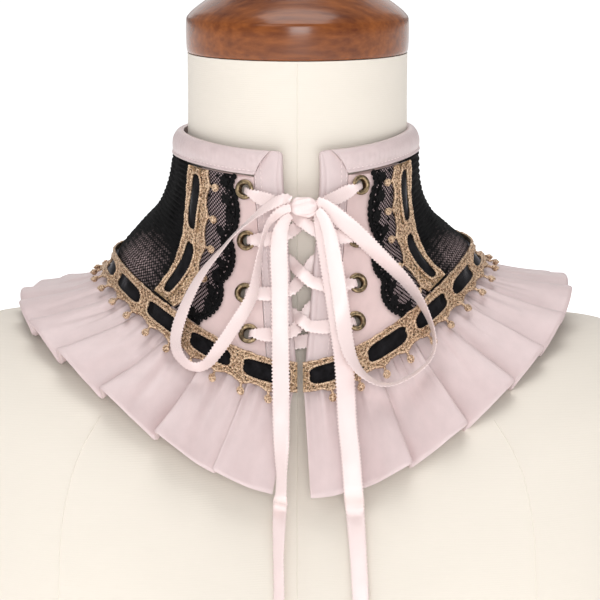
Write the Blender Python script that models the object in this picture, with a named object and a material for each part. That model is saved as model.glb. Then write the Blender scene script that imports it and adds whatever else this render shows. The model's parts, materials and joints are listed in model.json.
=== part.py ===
"""A neck corset, laced in front with a satin ribbon, on a limbless dress form.

The garment is drawn on rings round the neck. Each row of GARMENT_RINGS is one ring: how
far it reaches to the side, front and back, and how high it lies there. cloth() blends the
rings into one smooth surface, and every piece is laid on that surface, by angle and ring or
by millimetres along a seam, and moved out by its own height above the cloth.
The tables are in millimetres and degrees. Heights are above NECK_MIDDLE, angle 0 is the
centre front and positive angles go to +X.
"""
import math
from collections import namedtuple

import bpy
import bmesh
import numpy as np
from mathutils import Vector
from mathutils.geometry import delaunay_2d_cdt

MM = 0.001
GAP = 0.3
NECK_MIDDLE = 260.0
CLOTH_WALL = 1.5
PLACKET_WALL = 2.2
RUFFLE_WALL = 2.0
TRIM_WALL = 1.0
BRAID_WALL = 1.2
VELVET_LIFT = GAP
BRAID_GAP = 0.55
BRAID_LIFT = VELVET_LIFT + TRIM_WALL + BRAID_GAP
SEAM_GAP = 0.03
SMALL_STEP = 0.02

# The surface that the outside of the cloth follows, ring by ring from the neck down. Each ring
# has a radius and a height at the sides, the front and the back; how square it is and how its
# front dips between them; its slope from left to right; its turn in degrees; how far its
# sides lean to the right; and how much more its side ends slope.
Ring = namedtuple("Ring", "side_r side_z front_r front_z back_r back_z square dip tilt turn lean rise")
GARMENT_RINGS = [
    Ring(56.4, 87.0, 60.0, 82.0, 60.0, 88.0, 2.0, 2.0, 0.012, 1.3, -1.0, 0.0),
    Ring(60.8, 75.2, 60.5, 69.5, 61.5, 73.0, 2.0, 1.95, 0.014, 1.2, -0.8, 0.0),
    Ring(62.8, 59.5, 64.0, 46.0, 63.0, 59.0, 2.0, 1.9, -0.015, 1.1, -1.6, 0.0),
    Ring(68.0, 47.5, 68.5, 24.0, 67.0, 48.0, 2.0, 1.85, -0.025, 1.0, -1.2, 0.0),
    Ring(76.8, 38.6, 74.0, 4.0, 73.0, 38.0, 2.0, 1.8, -0.010, 0.9, -1.6, 0.0),
    Ring(86.2, 28.6, 81.5, -15.9, 81.5, 27.0, 2.0, 1.75, 0.010, 0.9, -1.8, 0.0),
    Ring(94.0, 16.6, 88.0, -29.4, 89.5, 15.0, 2.0, 1.75, 0.022, 0.9, -1.8, 0.0),
    Ring(137.0, 5.2, 110.0, -74.0, 114.0, -19.0, 2.25, 1.95, -0.020, 2.0, -1.2, 0.045),
]
TOP, BAND_FOOT, BRAID_TOP, NECK_SEAM, HEM = 0.0, 1.0, 5.1, 5.64, 7.0

# The dress form, from its neck down to its flat base.
FORM_RINGS = [
    Ring(54.1, 124.0, 54.1, 124.0, 54.1, 124.0, 2.0, 2.0, 0.0, 0.0, 0.0, 0.0),
    Ring(54.1, 90.0, 54.1, 90.0, 54.1, 90.0, 2.0, 2.0, 0.0, 0.0, 0.0, 0.0),
    Ring(55.4, 58.0, 56.0, 50.0, 55.4, 60.0, 2.0, 2.0, 0.0, 0.0, 0.0, 0.0),
    Ring(60.0, 42.0, 59.0, 22.0, 60.0, 42.0, 2.0, 2.0, 0.0, 0.0, 0.0, 0.0),
    Ring(69.0, 23.5, 65.0, -6.0, 68.0, 22.0, 2.05, 1.8, 0.0, 0.0, 0.0, 0.0),
    Ring(89.0, 5.0, 74.0, -36.0, 82.0, 1.0, 2.1, 1.8, 0.0, 0.0, 0.0, 0.0),
    Ring(126.0, -6.8, 85.0, -64.0, 101.0, -30.0, 2.1, 1.8, -0.008, 0.0, 0.0, 0.0),
    Ring(158.0, -11.4, 103.0, -92.0, 115.0, -52.0, 2.2, 1.7, -0.010, 0.0, 0.0, 0.0),
    Ring(182.0, -27.0, 121.0, -124.0, 123.0, -85.0, 2.3, 1.6, 0.0, 0.0, 0.0, 0.0),
    Ring(190.0, -70.0, 134.0, -152.0, 127.0, -125.0, 2.4, 1.6, 0.0, 0.0, 0.0, 0.0),
    Ring(183.0, -135.0, 136.0, -190.0, 121.0, -180.0, 2.4, 2.0, 0.0, 0.0, 0.0, 0.0),
    Ring(166.0, -205.0, 128.0, -228.0, 110.0, -225.0, 2.35, 2.0, 0.0, 0.0, 0.0, 0.0),
    Ring(150.0, -NECK_MIDDLE, 119.0, -NECK_MIDDLE, 102.0, -NECK_MIDDLE, 2.3, 2.0, 0.0, 0.0, 0.0, 0.0),
]
NECK_SET_BACK = (max(r.front_r for r in FORM_RINGS) - max(r.back_r for r in FORM_RINGS)) / 2

# The turned wooden neck cap, from its underside up to the tip of its knob.
CapPoint = namedtuple("CapPoint", "radius height")
CAP_PROFILE = [
    CapPoint(53.0, 124.3), CapPoint(54.5, 126.0), CapPoint(54.8, 139.0), CapPoint(53.2, 143.0),
    CapPoint(48.0, 147.5), CapPoint(37.0, 155.5), CapPoint(26.0, 166.0), CapPoint(17.0, 174.0),
    CapPoint(13.0, 179.0), CapPoint(14.5, 184.0), CapPoint(19.0, 190.0), CapPoint(19.5, 197.0),
    CapPoint(14.0, 203.5), CapPoint(6.0, 206.0),
]

# The front edges, in millimetres from the centre front line.
FrontEdge = namedtuple("FrontEdge", "place left right")
FRONT_EDGES = [
    FrontEdge(0.0, 8.5, 9.0), FrontEdge(1.0, 8.3, 9.8), FrontEdge(2.0, 6.4, 8.4),
    FrontEdge(3.0, 4.4, 6.1), FrontEdge(4.0, 3.4, 4.8), FrontEdge(5.0, 1.8, 2.4),
    FrontEdge(5.6, 1.2, 1.2), FrontEdge(6.0, 2.4, 2.0), FrontEdge(7.0, 17.0, 2.6),
]
PLACKET_WIDTH = 14.0
BAND_EDGE, BAND_PUFF, BAND_WALL = 0.4, 1.7, 1.2
MITRE_AT_TOP = 5.5
CORNER_RADIUS = 3.5

# Where each eyelet sits: its ring and its angle from the centre front.
Eyelet = namedtuple("Eyelet", "row left_place left_angle right_place right_angle")
EYELETS = [
    Eyelet(1, 1.35, 24.9, 1.30, 28.4),
    Eyelet(2, 2.44, 22.4, 2.36, 24.4),
    Eyelet(3, 3.69, 21.0, 3.44, 23.0),
    Eyelet(4, 4.58, 17.8, 4.36, 20.4),
]
EYELET_HOLE = 3.3
EyeletPoint = namedtuple("EyeletPoint", "radius height")
EYELET_PROFILE = [
    EyeletPoint(2.5, -1.9), EyeletPoint(2.9, -1.9), EyeletPoint(2.9, 0.6), EyeletPoint(4.75, 0.6),
    EyeletPoint(4.2, 1.5), EyeletPoint(3.0, 1.5),
]
EYELET_SIDES = 12

# The upright seam under each side braid, and the lace's scalloped front edge, by ring.
SeamAngle = namedtuple("SeamAngle", "place seam_left seam_right lace_left lace_right")
SIDE_SEAM, BACK_SEAM = 50.0, 180.0
SEAM_ANGLES = [
    SeamAngle(1.0, 50.2, 53.8, 30.5, 35.5), SeamAngle(2.0, 48.4, 51.7, 28.0, 33.0),
    SeamAngle(3.0, 46.0, 49.8, 28.0, 32.0), SeamAngle(4.0, 44.8, 49.8, 29.5, 32.5),
    SeamAngle(5.0, 48.3, 53.5, 34.5, 36.0), SeamAngle(5.7, 51.8, 56.0, 37.5, 39.0),
]
PANEL_MIDDLE = 30.0
PANEL_ROW_HEIGHT = 19.0
PANEL_COLUMNS = (26.0, 33.0, 40.0, 47.0, 54.0, 61.0)
FIRST_LACE_NOTCH = 1.29
LACE_SCALLOP_PITCH = 1.2
LACE_SCALLOP_DEPTH = 4.0
LACE_FOOT = 5.03
VELVET_HALF = 4.8
TRIM_CLEAR = 0.6

# The gathered mesh over the side and back panels, as fine raised ribs.
MESH_RIBS = 18
MESH_RIB_HEIGHT = 0.9

# The gold braid: windows of velvet between filigree bars, and picots on one edge.
NECK_WINDOWS = 19
BAR_LENGTH = 8.4
WINDOW_HALF = 3.9
WINDOW_ROUNDING = 2.5
RAIL_EDGE = -7.1
SCALLOP_REACH = 8.6
SCALLOP_DIP = 7.0
SCALLOP_SHARE = 0.3
SIDE_BRAID_WINDOWS = 2
NECK_PICOTS = 42
PICOT_END = 13.2
SIDE_BRAID_CLEAR = 2.0
SIDE_VELVET_CLEAR = 1.0
SIDE_BRAID_SLANT = 0.35
SIDE_PICOT_SHARES = (0.1, 0.31, 0.52, 0.73, 0.94)
PicotPoint = namedtuple("PicotPoint", "across out")
PICOT_OUTLINE = [
    PicotPoint(-0.9, 0.0), PicotPoint(-0.8, 1.0), PicotPoint(-2.0, 2.2), PicotPoint(-1.3, 4.4),
    PicotPoint(1.3, 4.4), PicotPoint(2.0, 2.2), PicotPoint(0.8, 1.0), PicotPoint(0.9, 0.0),
]

# The ruffle's folds. Each rises slowly away from the centre front and drops at its ridge.
Fold = namedtuple("Fold", "ridge depth")
LEFT_FOLDS = [
    Fold(13.5, 0.45), Fold(28.0, 1.0), Fold(42.0, 0.9), Fold(55.0, 1.0), Fold(67.5, 0.9),
    Fold(80.0, 0.8), Fold(93.0, 1.0), Fold(107.0, 0.8), Fold(119.0, 1.0), Fold(133.0, 0.9),
    Fold(146.0, 1.0), Fold(159.0, 0.8), Fold(171.0, 0.9),
]
RIGHT_FOLDS = [
    Fold(9.5, 0.35), Fold(23.0, 1.0), Fold(36.5, 1.1), Fold(49.0, 1.0), Fold(59.0, 0.7),
    Fold(69.5, 0.8), Fold(81.0, 0.9), Fold(94.0, 0.9), Fold(106.0, 0.9), Fold(120.0, 1.0),
    Fold(132.0, 0.8), Fold(145.0, 1.0), Fold(158.0, 0.9), Fold(170.0, 0.9),
]
FoldPoint = namedtuple("FoldPoint", "rising dropping height over")
FOLD_SECTION = [
    FoldPoint(0.38, 0.0, 0.45, 0.0), FoldPoint(0.72, 0.0, 0.85, 0.0), FoldPoint(1.0, 0.0, 1.0, 1.0),
    FoldPoint(1.0, 0.5, 0.42, 0.3), FoldPoint(1.0, 1.0, 0.0, -0.4),
]
FRONT_EDGE_HEIGHT = 0.55
FOLD_DROP_WIDTH = 2.6
FOLD_OVERHANG = 1.6
FOLD_SINK = 4.6
FOLD_RISE = 3.4
RUFFLE_ROWS = [5.70, 6.05, 6.35, 6.68, 7.0]
RUFFLE_ROOT_SINK = 0.45
SINK_SPEED = 1.3
RISE_START = 6.35

RIBBON_WALL = 1.0
# A satin ribbon from eyelet to eyelet. The way is 0 at its first eyelet, 1 at that side's front
# edge, 2 at the other edge and 3 at the other eyelet; the climb is the share of the height.
Stretch = namedtuple("Stretch", "way climb lift_left lift_right width")
CROSSING = [
    Stretch(0.00, 0.00, -0.8, -0.8, 2.6), Stretch(0.08, 0.02, 2.8, 2.8, 3.4),
    Stretch(0.30, 0.07, 2.4, 2.4, 5.6), Stretch(0.65, 0.15, 1.2, 1.2, 6.2),
    Stretch(0.95, 0.25, 1.7, 1.2, 4.2), Stretch(1.22, 0.37, -0.2, 1.5, 3.4),
    Stretch(1.48, 0.50, -3.0, 1.2, 3.4), Stretch(1.74, 0.63, -3.9, -2.4, 3.4),
    Stretch(2.00, 0.75, -3.8, -3.7, 4.2), Stretch(2.40, 0.86, -3.7, -3.7, 6.0),
    Stretch(3.00, 1.00, -3.6, -3.6, 4.0),
]

# The bow's loops and tails: millimetres across and up, height off the cloth, the ribbon's
# visible width and how far its face turns from the front, in degrees.
Ply = namedtuple("Ply", "across up lift width turn")
TOP_LEFT = [
    Ply(-25.2, 63.1, -0.2, 2.4, 0), Ply(-23.2, 62.6, 3.4, 3.0, 0), Ply(-18.7, 60.5, 2.6, 6.0, 0),
    Ply(-13.0, 58.8, 2.6, 6.6, 0), Ply(-5.4, 57.1, 4.2, 4.8, 0), Ply(-3.0, 56.3, 5.0, 4.4, 0),
]
TOP_RIGHT = [
    Ply(30.8, 65.1, -0.2, 2.4, 0), Ply(28.8, 64.5, 3.4, 3.0, 0), Ply(25.0, 63.2, 2.6, 6.0, 0),
    Ply(19.2, 60.5, 2.6, 6.6, 0), Ply(11.6, 57.7, 4.2, 5.6, 0), Ply(9.2, 57.0, 5.0, 4.4, 0),
]
LOOP_LEFT = [
    Ply(-3.1, 60.0, 8.0, 3.6, 0), Ply(-6.5, 61.0, 9.0, 5.5, 35), Ply(-16.4, 55.6, 9.5, 7.2, 70),
    Ply(-27.0, 46.6, 9.5, 7.5, 88), Ply(-36.5, 35.8, 10.0, 7.5, 82), Ply(-47.4, 21.8, 10.0, 7.5, 65),
    Ply(-55.4, 4.8, 9.8, 7.5, 48), Ply(-57.8, -6.2, 9.8, 7.2, 42), Ply(-55.2, -12.8, 10.0, 7.2, 42),
    Ply(-49.2, -16.7, 10.2, 7.2, 45), Ply(-42.2, -15.0, 9.8, 7.2, 40), Ply(-34.8, -5.6, 9.2, 7.4, 30),
    Ply(-26.4, 6.5, 9.0, 7.5, 30), Ply(-20.4, 18.5, 9.5, 7.5, 48), Ply(-16.8, 39.3, 10.0, 7.5, 76),
    Ply(-12.9, 50.0, 10.0, 7.0, 60), Ply(-6.4, 56.0, 9.6, 4.5, 20), Ply(-3.1, 56.6, 9.0, 3.6, 0),
]
LOOP_RIGHT = [
    Ply(9.3, 59.8, 8.0, 3.6, 0), Ply(13.5, 57.4, 9.0, 6.0, 0), Ply(21.0, 50.5, 9.0, 8.0, 0),
    Ply(29.6, 42.6, 9.0, 8.0, 10), Ply(39.2, 32.6, 9.0, 8.0, 25), Ply(51.2, 20.6, 9.0, 8.0, 42),
    Ply(58.8, 10.3, 9.5, 8.0, 60), Ply(63.9, -0.7, 10.0, 7.6, 76), Ply(64.4, -9.0, 10.5, 7.2, 84),
    Ply(60.0, -15.9, 11.0, 7.0, 88), Ply(50.4, -21.4, 11.0, 7.0, 90), Ply(41.4, -23.6, 11.5, 7.0, 88),
    Ply(32.6, -20.2, 12.0, 7.0, 76), Ply(26.2, -13.3, 12.0, 7.2, 52), Ply(22.8, -3.1, 12.0, 7.5, 25),
    Ply(20.3, 13.8, 12.0, 7.5, 0), Ply(17.6, 31.2, 12.0, 7.5, 0), Ply(15.2, 44.5, 11.5, 6.5, 0),
    Ply(11.9, 52.8, 10.0, 5.0, 0), Ply(9.4, 55.6, 9.0, 3.6, 0),
]
TAIL_LEFT = [
    Ply(-3.1, 52.6, 4.6, 3.0, 0), Ply(-6.9, 48.6, 5.4, 6.2, 0), Ply(-8.7, 38.9, 6.0, 8.2, 0),
    Ply(-8.3, 21.8, 6.0, 8.2, 0), Ply(-8.0, -2.2, 6.2, 8.0, 0), Ply(-7.7, -26.0, 7.6, 8.0, 0),
    Ply(-7.5, -43.3, 7.6, 7.6, 0), Ply(-7.4, -54.5, 7.0, 6.6, 20), Ply(-7.4, -64.7, 7.0, 5.6, 35),
    Ply(-7.9, -75.6, 7.0, 6.2, 15), Ply(-8.4, -85.2, 6.0, 6.2, 0), Ply(-8.8, -99.5, 5.0, 5.2, 20),
    Ply(-8.5, -118.1, 4.0, 5.2, 20), Ply(-8.3, -136.0, 3.0, 5.2, 20),
]
TAIL_RIGHT = [
    Ply(9.2, 53.6, 4.6, 3.4, 0), Ply(11.3, 49.0, 5.2, 7.0, 0), Ply(13.5, 38.7, 5.4, 8.4, 0),
    Ply(16.3, 22.0, 5.6, 8.6, 0), Ply(19.1, 4.2, 5.8, 8.8, 0), Ply(21.6, -11.8, 7.4, 8.8, 0),
    Ply(22.7, -26.1, 7.6, 8.8, 0), Ply(23.3, -40.3, 7.6, 8.8, 0), Ply(24.9, -54.5, 7.4, 8.8, 0),
    Ply(26.1, -70.4, 7.0, 8.8, 0), Ply(27.2, -83.7, 6.0, 8.6, 0), Ply(28.3, -98.9, 5.5, 7.8, 0),
    Ply(29.3, -117.8, 5.5, 7.6, 0), Ply(30.2, -136.0, 6.0, 7.6, 0),
]
BOTTOM_BAR_WIDTH = 6.5
BOTTOM_BAR_LIFT = -PLACKET_WALL - RIBBON_WALL / 2 - GAP - 0.1
HEM_CLEARANCE = 5.0
RibbonKnot = namedtuple("RibbonKnot", "across up lift half_width half_height half_depth")
BOW_KNOT = RibbonKnot(3.1, 56.8, 6.8, 5.6, 5.4, 3.6)

COLOURS = {
    "satin": ((0.66, 0.46, 0.45), 0.42, 0.0), "mesh": ((0.02, 0.02, 0.022), 0.8, 0.0),
    "lace": ((0.012, 0.012, 0.013), 0.8, 0.0), "velvet": ((0.008, 0.008, 0.009), 0.95, 0.0),
    "braid": ((0.50, 0.34, 0.16), 0.5, 0.3), "brass": ((0.20, 0.15, 0.08), 0.4, 0.9),
    "ribbon": ((0.85, 0.66, 0.63), 0.3, 0.0), "linen": ((0.86, 0.80, 0.70), 0.9, 0.0),
    "wood": ((0.23, 0.06, 0.025), 0.2, 0.0),
}


def blend(table, place):
    """Rows of a table at fractional places, through a smooth curve."""
    rows = np.array(table, float)
    last = len(rows) - 1
    place = np.clip(np.asarray(place, float), 0.0, last)
    start = np.minimum(place.astype(int), last - 1)
    t = (place - start)[..., None]
    before, here = rows[np.maximum(start - 1, 0)], rows[start]
    after, beyond = rows[start + 1], rows[np.minimum(start + 2, last)]
    leave, arrive = (after - before) / 2, (beyond - here) / 2
    return (here * (1 + 2 * t) * (1 - t) ** 2 + leave * t * (1 - t) ** 2
            + after * t * t * (3 - 2 * t) + arrive * t * t * (t - 1))


def surface(rings, place, angle):
    """Points on the surface through the rings, at a place between rings and an angle."""
    place, angle = np.broadcast_arrays(np.asarray(place, float), np.asarray(angle, float))
    row = blend(rings, place)
    (side_r, side_z, front_r, front_z, back_r, back_z, square, dip, tilt, turn, lean,
     rise) = np.moveaxis(row, -1, 0)
    phi = np.radians(angle)
    across, along = np.abs(np.sin(phi)), np.cos(phi)
    end_r = np.where(along >= 0, front_r, back_r)
    end_z = np.where(along >= 0, front_z, back_z)
    reach = ((across / side_r) ** square + (np.abs(along) / end_r) ** square) ** (-1 / square)
    fall = np.where(along >= 0, 1 - across ** dip, along ** 2)
    turned = phi + np.radians(turn)
    x, y = reach * np.sin(turned), -reach * np.cos(turned)
    z = side_z + (end_z - side_z) * fall + tilt * x + rise * x * across ** 8
    return np.stack([x + lean * across ** 2, y, z], -1)


def unit(vectors):
    return vectors / np.maximum(np.linalg.norm(vectors, axis=-1, keepdims=True), 1e-9)


def cloth(place, angle, lift=0.0):
    """A point on the garment, moved out from the cloth by lift."""
    place, angle, lift = np.broadcast_arrays(*(np.asarray(v, float) for v in (place, angle, lift)))
    here = surface(GARMENT_RINGS, place, angle)
    down = (surface(GARMENT_RINGS, np.minimum(place + SMALL_STEP, HEM), angle)
            - surface(GARMENT_RINGS, np.maximum(place - SMALL_STEP, TOP), angle))
    round_neck = surface(GARMENT_RINGS, place, angle + 0.5) - surface(GARMENT_RINGS, place, angle - 0.5)
    return here + unit(np.cross(down, round_neck)) * lift[..., None]


def table_value(table, column, place):
    """A column of a table read at a place, in straight steps between its rows."""
    return np.interp(place, [row.place for row in table], [getattr(row, column) for row in table])


def seam_angle(side, place):
    return table_value(SEAM_ANGLES, "seam_" + side_name(side), place)


def millimetres_per_ring(place, angle):
    step = (surface(GARMENT_RINGS, place + SMALL_STEP, angle)
            - surface(GARMENT_RINGS, place - SMALL_STEP, angle))
    return np.linalg.norm(step, axis=-1) / (2 * SMALL_STEP)


def millimetres_per_degree(place, angle):
    step = surface(GARMENT_RINGS, place, angle + 0.5) - surface(GARMENT_RINGS, place, angle - 0.5)
    return np.linalg.norm(step, axis=-1)


def front_angle(side, place, inset=0.0):
    """Angle of a front edge, or of a line that runs inset millimetres back from it."""
    name = "left" if side < 0 else "right"
    away = table_value(FRONT_EDGES, name, place) + inset
    return side * away / millimetres_per_degree(place, side * 4.0)


def side_name(side):
    return "left" if side < 0 else "right"


def material(name):
    made = bpy.data.materials.get(name)
    if made is None:
        colour, rough, metal = COLOURS[name]
        made = bpy.data.materials.new(name)
        made.use_nodes = True
        shader = made.node_tree.nodes["Principled BSDF"]
        shader.inputs["Base Color"].default_value = (*colour, 1.0)
        shader.inputs["Roughness"].default_value = rough
        shader.inputs["Metallic"].default_value = metal
        made.diffuse_color = (*colour, 1.0)
    return made


def add_object(name, points, faces, finish):
    """A closed mesh from millimetre points about the neck's axis, standing on its base."""
    moved = np.array(points, float).reshape(-1, 3) + np.array([0.0, NECK_SET_BACK, NECK_MIDDLE])
    mesh = bpy.data.meshes.new(name)
    mesh.from_pydata((moved * MM).tolist(), [], faces)
    shell = bmesh.new()
    shell.from_mesh(mesh)
    bmesh.ops.recalc_face_normals(shell, faces=shell.faces)
    bmesh.ops.triangulate(shell, faces=shell.faces)
    shell.to_mesh(mesh)
    shell.free()
    mesh.shade_smooth()
    mesh.set_sharp_from_angle(angle=math.radians(40))
    mesh.materials.append(material(finish))
    made = bpy.data.objects.new(name, mesh)
    bpy.context.collection.objects.link(made)
    return made


def wall(name, outer, inner, finish, closed_round=False):
    """A cloth wall between an outer and an inner grid of points."""
    rows, columns = outer.shape[:2]
    points = np.concatenate([outer.reshape(-1, 3), inner.reshape(-1, 3)])
    shift = rows * columns
    faces = []
    last = columns if closed_round else columns - 1
    for i in range(rows - 1):
        for j in range(last):
            k = (j + 1) % columns
            quad = [i * columns + j, i * columns + k, (i + 1) * columns + k, (i + 1) * columns + j]
            faces += [quad, [shift + q for q in reversed(quad)]]
    for j in range(last):
        k = (j + 1) % columns
        foot = (rows - 1) * columns
        faces += [[k, j, shift + j, shift + k], [foot + j, foot + k, shift + foot + k, shift + foot + j]]
    if not closed_round:
        for i in range(rows - 1):
            a, b = i * columns, (i + 1) * columns
            faces.append([a, b, shift + b, shift + a])
            a, b = a + columns - 1, b + columns - 1
            faces.append([b, a, shift + a, shift + b])
    return add_object(name, points, faces, finish)


def inside(point, outline):
    """Whether a flat point lies within a closed outline."""
    x, y = point
    crossings = 0
    for (x0, y0), (x1, y1) in zip(outline, outline[1:] + outline[:1]):
        if (y0 > y) != (y1 > y) and x < x0 + (y - y0) * (x1 - x0) / (y1 - y0):
            crossings += 1
    return crossings % 2 == 1


def plate(name, outline, holes, lay, low, high, finish, inner_points=()):
    """A sheet with holes, drawn flat in u and v and laid on the cloth between two heights.

    lay(u, v, lift) gives the points in space.
    """
    loops = [list(outline)] + [list(hole) for hole in holes]
    flat, edges = [], []
    for loop in loops:
        start = len(flat)
        flat += [Vector(p) for p in loop]
        edges += [(start + i, start + (i + 1) % len(loop)) for i in range(len(loop))]
    spare = [p for p in inner_points if inside(p, loops[0]) and not any(inside(p, h) for h in loops[1:])]
    flat += [Vector(p) for p in spare]
    spots, _, tiles, _, _, _ = delaunay_2d_cdt(flat, edges, [], 0, 1e-5)
    kept = []
    for tile in tiles:
        middle = sum((spots[i] for i in tile), Vector((0.0, 0.0))) / len(tile)
        if inside(middle, loops[0]) and not any(inside(middle, hole) for hole in loops[1:]):
            kept.append(list(tile))
    u, v = np.array([p.x for p in spots]), np.array([p.y for p in spots])
    points = np.concatenate([lay(u, v, high), lay(u, v, low)])
    shift = len(spots)
    sides = {}
    for tile in kept:
        for a, b in zip(tile, tile[1:] + tile[:1]):
            sides[(a, b)] = sides.get((a, b), 0) + 1
    faces = [tile for tile in kept] + [[shift + i for i in reversed(tile)] for tile in kept]
    faces += [[b, a, shift + a, shift + b] for a, b in sides if (b, a) not in sides]
    return add_object(name, points, faces, finish)


def turned(name, profile, centre, axis, sides, finish, closed_profile):
    """A piece turned round an axis from a profile of radius and height."""
    axis = np.array(axis, float) / np.linalg.norm(axis)
    across = np.cross(axis, [0.0, 0.0, 1.0] if abs(axis[2]) < 0.9 else [1.0, 0.0, 0.0])
    across /= np.linalg.norm(across)
    other = np.cross(axis, across)
    spin = np.linspace(0, 2 * math.pi, sides, endpoint=False)
    rim = np.cos(spin)[:, None] * across + np.sin(spin)[:, None] * other
    points = np.concatenate([centre + p.radius * rim + p.height * axis for p in profile])
    count = len(profile)
    faces = []
    for i in range(count if closed_profile else count - 1):
        for j in range(sides):
            k, n = (j + 1) % sides, (i + 1) % count
            faces.append([i * sides + j, i * sides + k, n * sides + k, n * sides + j])
    if not closed_profile:
        faces += [list(range(sides)), list(range((count - 1) * sides, count * sides))]
    return add_object(name, points, faces, finish)


def dress_form():
    """The padded bust and its wooden cap."""
    columns, rows = 36, 20
    angles = np.linspace(-180, 180, columns, endpoint=False)
    places = np.linspace(0, len(FORM_RINGS) - 1, rows)
    grid = surface(FORM_RINGS, places[:, None], angles[None, :])
    faces = [list(range(columns)), list(range((rows - 1) * columns, rows * columns))]
    for i in range(rows - 1):
        for j in range(columns):
            k = (j + 1) % columns
            faces.append([i * columns + j, i * columns + k, (i + 1) * columns + k, (i + 1) * columns + j])
    add_object("form_body", grid, faces, "linen")
    turned("form_cap", CAP_PROFILE, np.zeros(3), (0, 0, 1), 20, "wood", False)


def mitre_angle(side, place):
    """The slanting line where the top band meets a placket."""
    inset = MITRE_AT_TOP + (PLACKET_WIDTH - MITRE_AT_TOP) * np.clip(place, 0, 1)
    return front_angle(side, place, inset)


def top_band():
    """The bound edge round the neck, in one piece from mitre to mitre."""
    places = np.linspace(TOP, BAND_FOOT - SEAM_GAP, 5)[:, None]
    share = np.linspace(0, 1, 37)[None, :]
    seam = GAP / 2 / millimetres_per_degree(0.5, 0)
    start, end = mitre_angle(1, places) + seam, 360 + mitre_angle(-1, places) - seam
    angles = start + (end - start) * share
    down = np.clip((places - TOP) / (BAND_FOOT - TOP), 0, 1)
    puff = BAND_EDGE + BAND_PUFF * np.sin(math.pi * down) ** 0.6
    wall("top_band", cloth(places, angles, puff + 0 * share), cloth(places, angles, -BAND_WALL), "satin")


def placket(side):
    """The folded strip along one front edge, with a rounded and mitred top corner."""
    upper = np.array([0.02, 0.12, 0.3, 0.6, 1.0])
    places = np.concatenate([upper, np.linspace(1.4, NECK_SEAM - SEAM_GAP, 11)])[:, None]
    height = places * millimetres_per_ring(0.5, 0)
    rounding = np.clip(CORNER_RADIUS - height, 0, CORNER_RADIUS)
    pulled_back = CORNER_RADIUS - np.sqrt(CORNER_RADIUS ** 2 - rounding ** 2)
    front = front_angle(side, places, pulled_back)
    back = np.where(places < 1, mitre_angle(side, places), front_angle(side, places, PLACKET_WIDTH))
    share = np.linspace(0, 1, 4)[None, :]
    angles = front + (back - front) * share
    wall("placket_" + side_name(side), cloth(places, angles), cloth(places, angles, -PLACKET_WALL), "satin")


def eyelet_spot(side, eyelet):
    if side < 0:
        return eyelet.left_place, -eyelet.left_angle
    return eyelet.right_place, eyelet.right_angle


def round_spot(place, angle, radius, sides):
    """Places and angles of a true circle on the cloth round a spot."""
    down = (surface(GARMENT_RINGS, place + SMALL_STEP, angle)
            - surface(GARMENT_RINGS, place - SMALL_STEP, angle)) / (2 * SMALL_STEP)
    along = surface(GARMENT_RINGS, place, angle + 0.5) - surface(GARMENT_RINGS, place, angle - 0.5)
    first = unit(along)
    second = unit(down - first * (down @ first))
    rim = []
    for index in range(sides):
        turn = 2 * math.pi * index / sides
        step = radius * (math.cos(turn) * first + math.sin(turn) * second)
        shift = np.linalg.lstsq(np.stack([down, along], 1), step, rcond=None)[0]
        rim.append((place + shift[0], angle + shift[1]))
    return rim


def front_panel(side):
    """The pink panel from the placket to the side seam, with its four eyelet holes.

    u is millimetres round the neck at this height, v is the place along the rings.
    """
    per_place = PANEL_ROW_HEIGHT
    start, foot = BAND_FOOT + SEAM_GAP, NECK_SEAM - SEAM_GAP

    def lay(u, v, lift):
        place = v / per_place
        return cloth(place, side * u / millimetres_per_degree(place, side * PANEL_MIDDLE), lift)

    def to_u(place, angle):
        return abs(angle) * millimetres_per_degree(place, side * PANEL_MIDDLE)

    bends = [row.place for row in SEAM_ANGLES if start < row.place < foot]
    places = np.union1d(np.linspace(start, foot, 12), bends)
    seam = GAP / 2
    near = [(to_u(p, front_angle(side, p, PLACKET_WIDTH)) + 2 * seam, p * per_place) for p in places]
    far = [(to_u(p, seam_angle(side, p)) - seam, p * per_place) for p in places]
    holes = []
    for eyelet in EYELETS:
        place, angle = eyelet_spot(side, eyelet)
        rim = round_spot(place, angle, EYELET_HOLE, EYELET_SIDES)
        holes.append([(to_u(p, a), p * per_place) for p, a in rim])
    grid = [(u, p * per_place) for p in places[1:-1] for u in PANEL_COLUMNS]
    outline = near + far[::-1]
    plate("front_panel_" + side_name(side), outline, holes, lay, -CLOTH_WALL, 0.0, "satin", grid)


def back_panel(side):
    """The side and back panel from the side seam to the centre back, ribbed like its mesh."""
    start, foot = BAND_FOOT + SEAM_GAP, NECK_SEAM - SEAM_GAP
    places = np.linspace(start, foot, 2 * MESH_RIBS + 1)[:, None]
    seam = GAP / 2
    near = seam_angle(side, places) + seam / millimetres_per_degree(places, SIDE_SEAM)
    far = BACK_SEAM - seam / millimetres_per_degree(places, BACK_SEAM)
    share = np.linspace(0, 1, 7)[None, :]
    angles = side * (near + (far - near) * share)
    rib = MESH_RIB_HEIGHT * (np.arange(len(places)) % 2)[:, None]
    rib = rib * np.where(places > BRAID_TOP, 0.0, 1.0) * np.where(share > 0, 1.0, 0.0)
    wall("back_panel_" + side_name(side), cloth(places, angles, rib - MESH_RIB_HEIGHT),
         cloth(places, angles, -CLOTH_WALL - MESH_RIB_HEIGHT), "mesh")


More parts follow.
